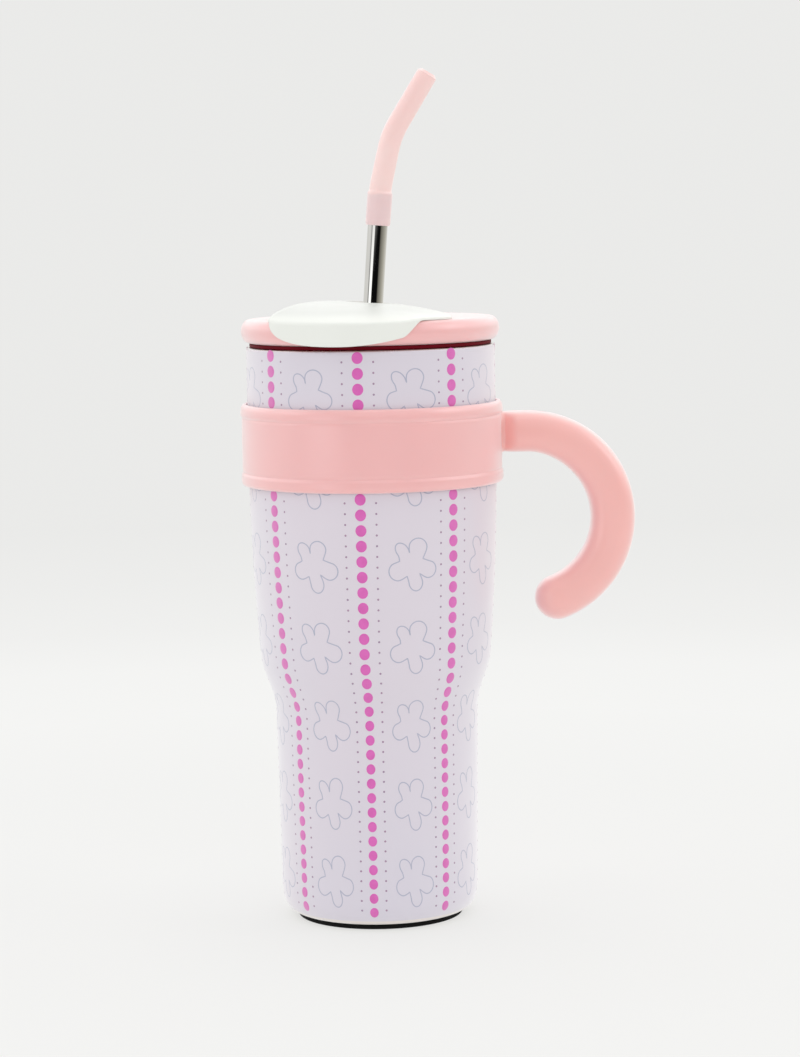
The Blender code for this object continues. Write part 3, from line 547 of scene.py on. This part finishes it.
def make_shell():
    """The steel outer wall, coated outside and bare inside and on top of its lip."""
    lip = CUP_RADIUS - LIP_WIDTH
    top = [(lip, CUP_TOP), (CUP_RADIUS, CUP_TOP), (CUP_RADIUS, CUP_TOP - 8)]
    outline = rounded(top, (0, LIP_BEND, 0), steps=8, closed=False)
    outline += [(CUP_RADIUS, z) for z in np.linspace(CUP_TOP - 12, STRAIGHT_END + 3, 10)]
    outline += cup_wall(0.0, SHELL_BOTTOM, SHELL_HEEL_RISE)
    flange_top = SHELL_BOTTOM + BASE_FLANGE
    hem = [
        outline[-1],
        (BASE_HOLE, SHELL_BOTTOM),
        (BASE_HOLE, flange_top),
        (BASE_HOLE + SHELL_WALL, flange_top),
        (BASE_HOLE + SHELL_WALL, SHELL_BOTTOM + SHELL_WALL),
    ]
    outline = outline[:-1] + rounded(hem, (0, 0.8, 0.2, 0.2, 0), closed=False)
    outline += cup_wall(SHELL_WALL, SHELL_BOTTOM + SHELL_WALL, SHELL_HEEL_RISE - 1)[::-1]
    outline += [(CUP_RADIUS - SHELL_WALL, CUP_TOP - SHELL_WALL), (lip, CUP_TOP - SHELL_WALL)]
    mesh = turned("cup_shell", outline)
    add_piece("cup_shell", mesh, "cup", ("coat", "steel"), ("outer_shell",))
    for face in mesh.polygons:
        centre = face.center / MM
        radius = math.hypot(centre.x, centre.y)
        inside = radius < wall_radius(centre.z) - SHELL_WALL / 2 and centre.z > SHELL_BOTTOM + 0.1
        lip_top = centre.z > CUP_TOP - SHELL_WALL / 2 and radius < CUP_RADIUS - LIP_COATED
        face.material_index = int(inside or lip_top)


def make_liner():
    reach, floor = CUP_RADIUS - LINER_INSET, LINER_BOTTOM + LINER_WALL
    outer = [(reach, CUP_TOP)] + cup_wall(LINER_INSET, LINER_BOTTOM, LINER_HEEL_RISE)
    inner = [(reach - LINER_WALL, CUP_TOP), (reach - LINER_WALL, CUP_TOP - 6)]
    inner += cup_wall(LINER_INSET + LINER_WALL, floor, LINER_HEEL_RISE)
    mesh = turned("cup_liner", outer + [(0, LINER_BOTTOM), (0, floor)] + inner[::-1])
    add_piece("cup_liner", mesh, "cup", ("steel",), ("inner_liner",))


def make_foot_pad():
    """The rubber disc under the cup, with shallow grip rings."""
    corners, sizes = [(0, 0)], [0]
    for radius in PAD_RINGS:
        ring = ((0, 0), (0.3, PAD_RING_DEPTH), (1.2, PAD_RING_DEPTH), (1.5, 0))
        corners += [(radius + across, up) for across, up in ring]
        sizes += [0.15] * len(ring)
    corners += [(PAD_RADIUS, 0), (PAD_RADIUS, PAD_HEIGHT), (0, PAD_HEIGHT)]
    sizes += [0.6, 0.3, 0]
    mesh = turned("foot_pad", rounded(corners, sizes, steps=4), 160)
    add_piece("foot_pad", mesh, "cup", ("rubber",), ("base_pad",))


# Print


def column_azimuth(height):
    return math.radians(smooth_through(COLUMN_DRIFT, height))


def on_wall(azimuth, height, rise):
    return polar(wall_radius(height) + rise, azimuth, height)


def dot_heights(share=1.0, offset=0.0):
    height = DOT_TOP + offset
    while height > DOT_LOWEST:
        yield height
        upper = height > SHOULDER_TOP
        height -= (DOT_PITCH_UPPER if upper else DOT_PITCH_LOWER) * share


def add_disc(points, faces, azimuth, height, half_angle, half_height, sides, levels):
    """A thin lens of ink that follows the wall, closed underneath."""
    start = len(points)
    rings = [(1.0, -INK_RISE)] + [(share, rise) for share, rise in levels]
    for share, rise in rings:
        for i in range(sides):
            angle = math.tau * i / sides
            a = azimuth + half_angle * share * math.cos(angle)
            z = height + half_height * share * math.sin(angle)
            points.append(on_wall(a, z, rise))
    for ring in range(len(rings) - 1):
        a, b = start + ring * sides, start + (ring + 1) * sides
        for i in range(sides):
            j = (i + 1) % sides
            faces.append((a + i, a + j, b + j, b + i))
    points.append(on_wall(azimuth, height, levels[-1][1]))
    centre = len(points) - 1
    last = start + (len(rings) - 1) * sides
    faces.extend((last + i, last + (i + 1) % sides, centre) for i in range(sides))
    faces.append(tuple(start + i for i in reversed(range(sides))))


def make_dots():
    levels = ((1.0, INK_RISE * 0.6), (0.94, INK_RISE), (0.5, INK_RISE))
    points, faces = [], []
    for turn in COLUMN_TURNS:
        for height in dot_heights(offset=SIDE_LIFT if turn else 0.0):
            azimuth = column_azimuth(height) + turn
            tall = DOT_HEIGHT * math.sqrt(wall_radius(height) / CUP_RADIUS)
            add_disc(points, faces, azimuth, height, DOT_ANGLE / 2, tall / 2, 28, levels)
    mesh = mesh_of("printed_dots", points, faces)
    add_piece("printed_dots", mesh, "cup", ("ink_pink",))


def make_fine_dots():
    levels = ((1.0, INK_RISE * 0.8),)
    points, faces = [], []
    for turn in COLUMN_TURNS:
        for side in (-1, 1):
            for height in dot_heights(FINE_SHARE, FINE_OFFSET):
                azimuth = column_azimuth(height) + turn + side * FINE_ANGLE
                half = FINE_SIZE / 2
                half_angle = half / wall_radius(height)
                add_disc(points, faces, azimuth, height, half_angle, half, 10, levels)
    mesh = mesh_of("printed_fine_dots", points, faces)
    add_piece("printed_fine_dots", mesh, "cup", ("ink_grey",))


def polar_plane(degrees, distance):
    return Vector((math.cos(math.radians(degrees)), math.sin(math.radians(degrees)))) * distance


def flower_outline(wobble):
    """One closed line round five petals, each a bulging curve from one inner corner to the next."""
    outline = []
    for i, (direction, length, width) in enumerate(PETALS):
        length *= 1 + 0.04 * math.sin(wobble * 2.3 + i * 1.9)
        half = width / 2 * (1 + 0.05 * math.sin(wobble * 1.7 + i * 2.6))
        toward = polar_plane(direction, 1.0)
        across = Vector((-toward.y, toward.x)) * half
        first, last = polar_plane(*NOTCHES[i - 1]), polar_plane(*NOTCHES[i])
        broad = toward * length * 0.7
        rise = toward * length * 0.42
        knots = [first, broad + across, toward * length, broad - across, last]
        leave, arrive = (knots[1] - first) * 0.8, (last - knots[3]) * 0.8
        tangents = [leave, rise, across * -1.7, -rise, arrive]
        for k in range(4):
            for step in range(ARC_STEPS):
                t = step / ARC_STEPS
                spread = (knots[k + 1] - knots[k]) * smooth_step(t)
                bend = tangents[k] * (t**3 - 2 * t**2 + t) + tangents[k + 1] * (t**3 - t**2)
                outline.append(knots[k] + spread + bend)
    return outline


def add_line(points, faces, outline, azimuth, height):
    """A closed line of ink laid on the wall round one flower."""
    start = len(points)
    count = len(outline)
    top = INK_RISE * 0.7
    section = ((-0.5, -INK_RISE), (-0.42, top), (0.42, top), (0.5, -INK_RISE))
    for i, here in enumerate(outline):
        along = (outline[(i + 1) % count] - outline[i - 1]).normalized()
        out = Vector((along.y, -along.x))
        for offset, rise in section:
            place = here + out * offset * FLOWER_LINE
            turn = place.x * FLOWER_BROADEN / CUP_RADIUS
            points.append(on_wall(azimuth + turn, height + place.y, rise))
    for i in range(count):
        a, b = start + 4 * i, start + 4 * ((i + 1) % count)
        for k in range(4):
            m = (k + 1) % 4
            faces.append((a + k, a + m, b + m, b + k))


def make_flowers():
    points, faces = [], []
    for column, turn in enumerate(COLUMN_TURNS):
        after = COLUMN_TURNS[column + 1] if column + 1 < len(COLUMN_TURNS) else math.tau
        for row, height in enumerate(FLOWER_HEIGHTS):
            azimuth = column_azimuth(height) + turn + FLOWER_PLACES[column] * (after - turn)
            add_line(points, faces, flower_outline(column % 2 * 1.3 + row * 0.4), azimuth, height)
    mesh = mesh_of("printed_flowers", points, faces)
    add_piece("printed_flowers", mesh, "cup", ("ink_blue",))


# Handle


def make_band():
    lip_top, lip_bottom = BAND_TOP - BAND_LIP_HEIGHT, BAND_BOTTOM + BAND_LIP_HEIGHT
    groove = BAND_OUTER - BAND_GROOVE
    corners = [
        (BAND_INNER, BAND_TOP),
        (BAND_LIP, BAND_TOP),
        (BAND_LIP, lip_top + 1.0),
        (groove, lip_top),
        (BAND_OUTER, lip_top - 0.9),
        (BAND_OUTER, lip_bottom + 0.9),
        (groove, lip_bottom),
        (BAND_LIP, lip_bottom - 1.0),
        (BAND_LIP, BAND_BOTTOM),
        (BAND_INNER, BAND_BOTTOM),
    ]
    sizes = (0.5, BAND_TOP_BEND, 0.7, 0.35, 0.5, 0.5, 0.35, 0.7, BAND_BOTTOM_BEND, 0.5)
    mesh = turned("handle_ring", rounded(corners, sizes, steps=8), 320)
    add_piece("handle_ring", mesh, "handle", ("pink",), ("handle_band",))


def section(centre, normal, half_depth, half_width, fullness=GRIP_FULLNESS, count=64):
    """A ring of points round the grip, half_depth along normal and half_width along Y from its centre."""

    def bulged(value):
        return math.copysign(abs(value) ** (2 / fullness), value)

    ring = []
    for i in range(count):
        angle = math.tau * i / count
        width = Vector((0, bulged(math.sin(angle)) * half_width, 0))
        ring.append(centre + normal * bulged(math.cos(angle)) * half_depth + width)
    return ring


def neck_rings(root):
    """A fillet that lies on the ring's round face, then a neck that swells into the grip."""
    up = Vector((0, 0, 1))
    rings = []
    for step in range(9):
        turn = math.pi / 2 * step / 8
        flare = NECK_FILLET * (1 - math.sin(turn))
        ring = section(root, up, NECK_DEPTH + flare * 1.6, NECK_WIDTH + flare)
        for point in ring:
            point.x = math.sqrt(BAND_OUTER**2 - point.y**2) + NECK_FILLET * (1 - math.cos(turn)) - 0.4
        rings.append(ring)
    flat = max(point.x for point in rings[-1]) + 0.25
    for step in range(13):
        share = step / 12
        place = root + Vector((flat + (NECK_END - flat) * share, 0, 0))
        swell = math.sin(math.pi / 2 * share)
        depth = NECK_DEPTH + (ROOT_DEPTH - NECK_DEPTH) * swell
        rings.append(section(place, up, depth, NECK_WIDTH + (GRIP_WIDTH - NECK_WIDTH) * swell))
    return rings


def make_grip():
    """The hook, from a filleted neck on the ring to its rounded end."""
    rings = neck_rings(Vector((0, 0, HOOK_Z + HOOK_RADIUS)))
    steps = 96
    sweep = math.pi / 2 - HOOK_END
    for i in range(steps + 1):
        angle = math.pi / 2 - sweep * i / steps
        normal = Vector((math.cos(angle), 0, math.sin(angle)))
        centre = Vector((HOOK_X, 0, HOOK_Z)) + normal * HOOK_RADIUS
        depth = ROOT_DEPTH + (GRIP_DEPTH - ROOT_DEPTH) * smooth_step(3 * i / steps)
        rings.append(section(centre, normal, depth, GRIP_WIDTH))
    ahead = Vector((normal.z, 0, -normal.x))
    for i in range(1, 16):
        turn = math.sin(math.pi / 2 * i / 15.4)
        shrink = math.sqrt(1 - turn**2)
        fullness = GRIP_FULLNESS + (2 - GRIP_FULLNESS) * turn
        tip = centre + ahead * GRIP_DEPTH * turn
        rings.append(section(tip, normal, GRIP_DEPTH * shrink, GRIP_WIDTH * shrink, fullness))
    mesh = skin("hook_grip", rings)
    add_piece("hook_grip", mesh, "handle", ("soft_pink",), ("handle_grip",))


# Lid


def sip_block(name, outer, bottom, top):
    """A curved block with the drinking hole's rounded plan, out to this radius."""
    span = (SIP_INNER + outer) / 2
    side = SIP_ANGLE * span
    near, far = SIP_INNER - span, outer - span
    corners = [(side, near), (side, far), (-side, far), (-side, near)]
    outline = rounded(corners, (SIP_CORNER,) * 4)
    dense = []
    for i, here in enumerate(outline):
        after = outline[(i + 1) % len(outline)]
        parts = max(1, int(math.dist(here, after) / 0.8))
        for k in range(parts):
            dense.append(tuple(a + (b - a) * k / parts for a, b in zip(here, after)))
    rings = []
    for height in (bottom, top):
        rings.append([polar(span + y, SIP_AZIMUTH + x / span, height) for x, y in dense])
    return skin(name, rings)


def half_ellipse(radius, middle, width, half_height, steps):
    """Points from the top to the bottom of a bulge that stands out from radius by width."""
    angles = [math.pi / 2 - math.pi * i / steps for i in range(steps + 1)]
    return [(radius + width * math.cos(a), middle + half_height * math.sin(a)) for a in angles]


def make_lid():
    """The lid's rounded outer half, with the drinking hole through it."""
    middle, half = (LID_TOP + LID_BOTTOM) / 2, (LID_TOP - LID_BOTTOM) / 2
    outer = half_ellipse(LID_FLAT, middle, LID_RADIUS - LID_FLAT, half, 40)
    inner = half_ellipse(LID_FLAT, middle, LID_RADIUS - LID_FLAT - LID_WALL, half - LID_WALL, 12)
    outline = [(HUB_BORE, LID_TOP - 0.3), (HUB_BORE + 0.3, LID_TOP)] + outer[:-1]
    outline += [(LID_FLAT + 0.4, LID_BOTTOM + 0.3)] + inner[-2::-1] + [(HUB_BORE, LID_TOP - LID_WALL)]
    slot = sip_block("sip_slot", SIP_OUTER, LID_BOTTOM, LID_TOP + 3)
    mesh = cut(turned("lid_shell", outline), slot, "lid_shell")
    add_piece("lid_shell", mesh, "lid", ("pink",), ("lid_top",))


def make_plug():
    """The lid's inner half: a floor and a wall that reach into the cup, and the straw's guide tube."""
    corners = [
        (TUBE_BORE, TUBE_TOP),
        (TUBE_OUTER, TUBE_TOP),
        (TUBE_OUTER, PLUG_BOTTOM + PLUG_WALL),
        (PLUG_RADIUS - PLUG_WALL, PLUG_BOTTOM + PLUG_WALL),
        (PLUG_RADIUS - PLUG_WALL, LID_BOTTOM + PLUG_WALL),
        (PLUG_FLANGE, LID_BOTTOM + PLUG_WALL),
        (PLUG_FLANGE, LID_BOTTOM),
        (PLUG_RADIUS, LID_BOTTOM),
        (PLUG_RADIUS, PLUG_BOTTOM),
        (TUBE_BORE, PLUG_BOTTOM),
    ]
    sizes = (0.3, 0.3, 1.0, 1.0, 0.6, 0.2, 0.2, 0.3, 1.2, 0.4)
    port = sip_block("port", SIP_OUTER - 2, PLUG_BOTTOM - 1, PLUG_BOTTOM + 2 * PLUG_WALL)
    mesh = cut(turned("lid_plug", rounded(corners, sizes, steps=5)), port, "lid_plug")
    add_piece("lid_plug", mesh, "lid", ("inner_pink",), ("lid_base",))


def make_seal():
    """A flange that rests on the cup's lip, and a leg with fins inside it."""
    inner, under = PLUG_RADIUS + 0.3, CUP_TOP + 0.1
    leg, fin = inner + 0.7, 0.5
    corners = [(inner, SEAL_TOP), (SEAL_RADIUS, SEAL_TOP), (SEAL_RADIUS, under), (leg, under)]
    sizes = [0, 0.5, 0.5, 0.4]
    for height in SEAL_FIN_HEIGHTS:
        corners += [(leg, height + fin), (SEAL_FIN, height), (leg, height - fin)]
        sizes += [0.15, 0.2, 0.15]
    corners += [(leg, PLUG_BOTTOM + 1.6), (inner, PLUG_BOTTOM + 1.6)]
    sizes += [0.2, 0.2]
    mesh = turned("rim_seal", rounded(corners, sizes, steps=5))
    add_piece("rim_seal", mesh, "lid", ("seal",), ("lid_seal",))


def straw_point(height):
    """The point of the leaning straw's axis at this height."""
    return Vector((math.tan(STRAW_LEAN) * (height - STRAW_CROSSING), 0, height))


def make_grommet():
    """A flanged silicone plug whose bore leans with the straw."""
    neck, flange = TUBE_BORE - 0.3, HUB_INNER - 0.8
    corners = [
        (flange - 3, GROMMET_TOP),
        (flange, GROMMET_TOP),
        (flange, TUBE_TOP + 0.3),
        (neck, TUBE_TOP + 0.3),
        (neck, GROMMET_BOTTOM),
        (neck - 1, GROMMET_BOTTOM),
    ]
    outside = rounded(corners, (0, 0.5, 0.2, 0.2, 0.4, 0), steps=5, closed=False)
    bore, soft = STRAW_RADIUS + STRAW_GAP, 0.4
    inside = [(bore + soft, GROMMET_BOTTOM), (bore, GROMMET_BOTTOM + soft)]
    inside += [(bore, GROMMET_TOP - soft), (bore + soft, GROMMET_TOP)]
    turns = 96
    rings = []
    for i in range(turns):
        azimuth = math.tau * i / turns
        ring = [polar(r, azimuth, z) for r, z in outside]
        ring += [straw_point(z) + Vector(polar(r, azimuth, 0)) for r, z in inside]
        rings.append(ring)
    mesh = skin("straw_ring", rings, closed=True)
    add_piece("straw_ring", mesh, "lid", ("grommet",), ("straw_grommet",))


# Turning cover


def skirt_hang(degrees):
    """1 where the skirt hangs lowest and 0 where the cover only lies on the lid."""
    turn = degrees - SKIRT_LOWEST
    if turn < 0:
        return max(0.0, 1 - (-turn / SKIRT_LEFT) ** 2.5) ** 0.45
    rise = smooth_step((degrees - SKIRT_RISE_START) / SKIRT_RISE)
    return max(0.0, 1 - (turn / SKIRT_SAG) ** 2) * (1 - rise)


def dome_height(radius, degrees):
    """The top leans down towards the handle and is fuller on the other side."""
    side = math.sin(math.radians(degrees))
    edge = COVER_EDGE + (SKIRT_EDGE - COVER_EDGE) * skirt_hang(degrees)
    top = COVER_TOP - COVER_TILT * (radius * side - COVER_PEAK_X)
    share = min(1.0, radius / smooth_through(COVER_PLAN, degrees))
    return edge + (top - edge) * (1 - share ** (2.85 - 0.65 * side)) ** 0.87


def cover_top(rim, degrees):
    """The domed top, from the straw's hole to where the rim's rounding starts."""
    crown, end, steps = HUB_INNER + 0.7, rim - EDGE_ROUNDING, 36
    radii = [crown + (end - crown) * math.sin(math.pi / 2 * i / steps) for i in range(steps + 1)]
    return [(radius, dome_height(radius, degrees)) for radius in radii]


def cover_skirt(start, rim, edge, bottom):
    """From start over the rim's rounding, down outside the skirt and round its lower lip."""
    drop = min(EDGE_ROUNDING, 0.5 * (edge - bottom))
    bends = (0, (math.dist(start, (rim, edge)), drop), 0)
    corners = [start, (rim, edge), (rim, bottom)]
    points = rounded(corners, bends, steps=8, closed=False)[2:-1]
    points += [(rim, edge - drop - (edge - drop - bottom) * share) for share in (0.2, 0.4, 0.6, 0.8)]
    soft = min(0.4, 0.08 * (edge - bottom))
    inside = rim - SKIRT_WALL
    lip = [(rim, bottom + soft), (rim, bottom), (inside, bottom), (inside, bottom + soft)]
    return points + rounded(lip, (0, soft, soft, 0), steps=5, closed=False)


def cover_underside(rim, skirt_end, degrees):
    """From the top of the skirt's inside to the hub, a wall's thickness under the dome."""
    under = COVER_UNDER + 0.1
    points = [(rim - SKIRT_WALL - 0.25, max(under, skirt_end)), (rim - 3.4, under)]
    inner_rim, inner_crown = rim - 5.2, HUB_OUTER + 1
    for i in range(11):
        radius = inner_rim + (inner_crown - inner_rim) * i / 10
        points.append((radius, max(under, dome_height(radius, degrees) - COVER_WALL)))
    return points + [(HUB_OUTER, dome_height(HUB_OUTER, degrees) - 1.4 * COVER_WALL)]


def cover_section(degrees):
    rim = smooth_through(COVER_PLAN, degrees)
    bottom = COVER_UNDER - SKIRT_DROP * skirt_hang(degrees)
    points = cover_top(rim, degrees)
    top = points[0][1]
    points += cover_skirt(points[-1], rim, dome_height(rim, degrees), bottom)
    points += cover_underside(rim, points[-1][1], degrees)
    groove_top = LID_TOP - LID_WALL + 0.3
    groove_bottom = groove_top - HUB_GROOVE_HEIGHT
    points += [(HUB_OUTER, groove_top), (HUB_GROOVE, groove_top), (HUB_GROOVE, groove_bottom)]
    points += [(HUB_OUTER, groove_bottom), (HUB_OUTER, HUB_BOTTOM), (HUB_INNER, HUB_BOTTOM)]
    return points + [(HUB_INNER + wide, top - low) for wide, low in ((0, 0.9), (0.12, 0.4), (0.35, 0.1))]


def make_cover():
    turns = 600
    rings = []
    for i in range(turns):
        degrees = 360 * i / turns - 180
        rings.append([polar(r, math.radians(degrees), z) for r, z in cover_section(degrees)])
    mesh = skin("drink_cover", rings, closed=True)
    add_piece("drink_cover", mesh, "cover", ("white",), ("rotating_cover",), 40)


# Straw


def make_straw():
    slant = 1 / math.cos(STRAW_LEAN)
    across = Vector((math.cos(STRAW_LEAN), 0, -math.sin(STRAW_LEAN)))
    length = (STRAW_TOP - STRAW_BOTTOM) * slant
    outer, inner, soft, count = STRAW_RADIUS, STRAW_RADIUS - STRAW_WALL, 0.18, 96
    corners = [(outer, length), (outer, 0), (inner, 0), (inner, length)]
    outline = rounded(corners, (soft,) * 4, steps=4)
    rings = []
    for i in range(count):
        angle = math.tau * i / count
        out = across * math.cos(angle) + Vector((0, math.sin(angle), 0))
        rings.append([straw_point(STRAW_BOTTOM + along / slant) + out * r for r, along in outline])
    mesh = skin("steel_straw", rings, closed=True)
    add_piece("steel_straw", mesh, "straw", ("polished",), ("straw_tube",))


def tip_centre_line():
    """The mouthpiece's axis in its own plane, as a point for each millimetre or so."""
    sleeve_end = Vector((0, SLEEVE_LENGTH))
    lower = Vector((math.sin(TIP_LOWER_LEAN), math.cos(TIP_LOWER_LEAN)))
    upper = Vector((math.sin(TIP_UPPER_LEAN), math.cos(TIP_UPPER_LEAN)))
    elbow = sleeve_end + lower * TIP_LOWER
    corners = [Vector((0, 0)), sleeve_end + lower * 1.5, elbow, elbow + upper * TIP_UPPER]
    bends = (0, TIP_LOWER_BEND, TIP_UPPER_BEND, 0)
    line = [Vector(point) for point in rounded(corners, bends, steps=14, closed=False)]
    dense = [line[0]]
    for before, here in zip(line, line[1:]):
        parts = max(1, int((here - before).length))
        dense += [before + (here - before) * k / parts for k in range(1, parts + 1)]
    return dense


def make_tip():
    """A soft tube with a wider sleeve pushed over the steel straw."""
    line = tip_centre_line()
    travelled = [0.0]
    for before, here in zip(line, line[1:]):
        travelled.append(travelled[-1] + (here - before).length)
    total = travelled[-1]
    turn = Matrix.Rotation(STRAW_LEAN, 3, "Y")
    base = straw_point(TIP_BOTTOM)
    count = 72

    def ring(i, radius):
        before, after = line[max(i - 1, 0)], line[min(i + 1, len(line) - 1)]
        lean = math.atan2(after.x - before.x, after.y - before.y)
        centre = Vector((line[i].x, 0, line[i].y))
        across = Vector((math.cos(lean), 0, -math.sin(lean)))
        angles = [math.tau * k / count for k in range(count)]
        around = [across * math.cos(a) + Vector((0, math.sin(a), 0)) for a in angles]
        return [base + turn @ (centre + out * radius) for out in around]

    def outer_radius(along):
        tube = TIP_RADIUS + (TIP_END_RADIUS - TIP_RADIUS) * along / total
        step = smooth_step((along - SLEEVE_LENGTH + 0.9) / 1.3)
        radius = SLEEVE_RADIUS + (tube - SLEEVE_RADIUS) * step
        bottom_edge = max(0.0, 0.35 - along)
        top_edge = max(0.0, 1.0 - (total - along))
        return radius - bottom_edge * 0.6 - (1 - math.sqrt(max(0.0, 1 - top_edge**2))) * 1.1

    def bore_radius(along):
        step = smooth_step((along - SLEEVE_LENGTH + 1.2) / 1.0)
        socket = STRAW_RADIUS + STRAW_GAP
        return socket + (TIP_BORE - socket) * step

    rings = [ring(i, outer_radius(along)) for i, along in enumerate(travelled)]
    rings += [ring(i, bore_radius(along)) for i, along in enumerate(travelled)][::-1]
    mesh = skin("mouthpiece_tube", rings, closed=True)
    add_piece("mouthpiece_tube", mesh, "mouthpiece", ("tip",), ("straw_tip",))


# Pieces that keep the CAD's own shape


CAD_MATERIALS = {
    "outer_base": "steel",
    "vacuum_seal_bead": "glass",
    "getter": "steel",
    "handle_core": "inner_pink",
    "handle_screw_upper": "steel",
    "handle_screw_lower": "steel",
    "cover_retainer": "steel",
    "sip_plug": "grommet",
}


def dress_cad_nodes():
    for node, key in CAD_MATERIALS.items():
        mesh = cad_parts[node].data
        mesh.materials.clear()
        mesh.materials.append(MATERIALS[key])


# Stage, light and camera


def make_floor():
    """A pale disc whose far part glows like the lit paper behind it."""
    steps = 96
    angles = [math.tau * i / steps for i in range(steps)]
    rings = [[(r * math.cos(a), r * math.sin(a), 0) for a in angles] for r in FLOOR_RADII]
    mesh = skin("floor", rings, caps=False)
    floor = bpy.data.objects.new("floor", mesh)
    bpy.context.scene.collection.objects.link(floor)
    mesh.materials.clear()
    mesh.materials.append(floor_material())
    mesh.shade_smooth()


def floor_material():
    paper = Surface("floor_paper", srgb(240, 240, 239), 0.9, specular=0.2)
    length = paper.node("ShaderNodeVectorMath", operation="LENGTH")
    paper.feed(length.inputs[0], paper.space)
    share = paper.calculate("DIVIDE", length.outputs["Value"], FLOOR_RADII[-1] * MM)
    # painted light: the ramp's levels stand in for how the studio light falls across the paper, and the
    # disc glows with them
    levels = [(place, srgb(level, level, level - FLOOR_YELLOW)) for place, level in FLOOR_LIGHT_LEVELS]
    color = paper.color_ramp(share, levels)
    paper.set({"Base Color": color})
    glow = paper.node("ShaderNodeEmission")
    paper.feed(glow.inputs["Color"], color)
    mix = paper.node("ShaderNodeMixShader")
    glowing = paper.map_range(share, (0.05, 0.2), (0.7, 1.0))
    for socket, value in zip(mix.inputs, (glowing, paper.shader.outputs[0], glow.outputs[0])):
        paper.feed(socket, value)
    paper.feed(paper.tree.nodes["Material Output"].inputs["Surface"], mix.outputs[0])
    return paper.material


def make_world():
    """Dark and bright studio walls under a soft white sky. The camera sees a plain backdrop instead."""
    world = bpy.data.worlds.new("studio")
    bpy.context.scene.world = world
    world.use_nodes = True
    studio = Nodes(world.node_tree)
    direction = studio.split(studio.node("ShaderNodeTexCoord").outputs["Generated"])
    ahead = studio.calculate("MULTIPLY", direction["Y"], -1.0)
    azimuth = studio.calculate("ARCTAN2", direction["X"], ahead)
    stops = []
    for degrees, level, warmth in WALLS:
        color = (level, level * (1 - warmth / 4), level * (1 - warmth), 1.0)
        stops.append(((degrees + 180) / 360, color))
    walls = studio.color_ramp(studio.map_range(azimuth, (-math.pi, math.pi)), stops)
    sky = studio.map_range(direction["Y"], (-0.5, 0.5), (SKY_FRONT, SKY_BACK), smooth=True)
    overhead = studio.map_range(direction["Z"], WALL_TOP, smooth=True)
    lit = studio.mix(overhead, walls, sky)
    seen = studio.node("ShaderNodeLightPath").outputs["Is Camera Ray"]
    background = studio.tree.nodes["Background"]
    studio.feed(background.inputs["Color"], studio.mix(seen, lit, srgb(*BACKDROP)))
    background.inputs["Strength"].default_value = 1.0


def make_lights():
    for name, place, size, power, reflected in LIGHTS:
        data = bpy.data.lights.new(name, "AREA")
        data.shape = "RECTANGLE"
        data.size, data.size_y = size
        data.energy = power
        light = bpy.data.objects.new(name, data)
        light.location = place
        light.rotation_mode = "QUATERNION"
        light.rotation_quaternion = (LIGHT_TARGET - light.location).to_track_quat("-Z", "Y")
        light.visible_camera = False
        light.visible_glossy = reflected
        bpy.context.scene.collection.objects.link(light)


def make_camera():
    data = bpy.data.cameras.new("camera")
    data.sensor_width = 36.0
    data.lens = CAMERA_LENS
    data.clip_start, data.clip_end = 0.05, 50.0
    camera = bpy.data.objects.new("camera", data)
    bpy.context.scene.collection.objects.link(camera)
    level = Vector((math.sin(CAMERA_YAW), math.cos(CAMERA_YAW), 0))
    ahead = level * math.cos(CAMERA_TILT) - Vector((0, 0, math.sin(CAMERA_TILT)))
    right = Vector((math.cos(CAMERA_YAW), -math.sin(CAMERA_YAW), 0))
    up = right.cross(ahead)
    across = right * math.cos(CAMERA_ROLL) + up * math.sin(CAMERA_ROLL)
    upright = up * math.cos(CAMERA_ROLL) - right * math.sin(CAMERA_ROLL)
    turn = Matrix((across, upright, -ahead)).transposed()
    camera.matrix_world = Matrix.Translation(CAMERA_PLACE) @ turn.to_4x4()
    bpy.context.scene.camera = camera


make_shell()
make_liner()
make_foot_pad()
make_dots()
make_fine_dots()
make_flowers()
make_band()
make_grip()
make_lid()
make_plug()
make_seal()
make_grommet()
make_cover()
make_straw()
make_tip()
dress_cad_nodes()
make_floor()
make_world()
make_lights()
make_camera()
bpy.context.scene.view_settings.view_transform = "Standard"
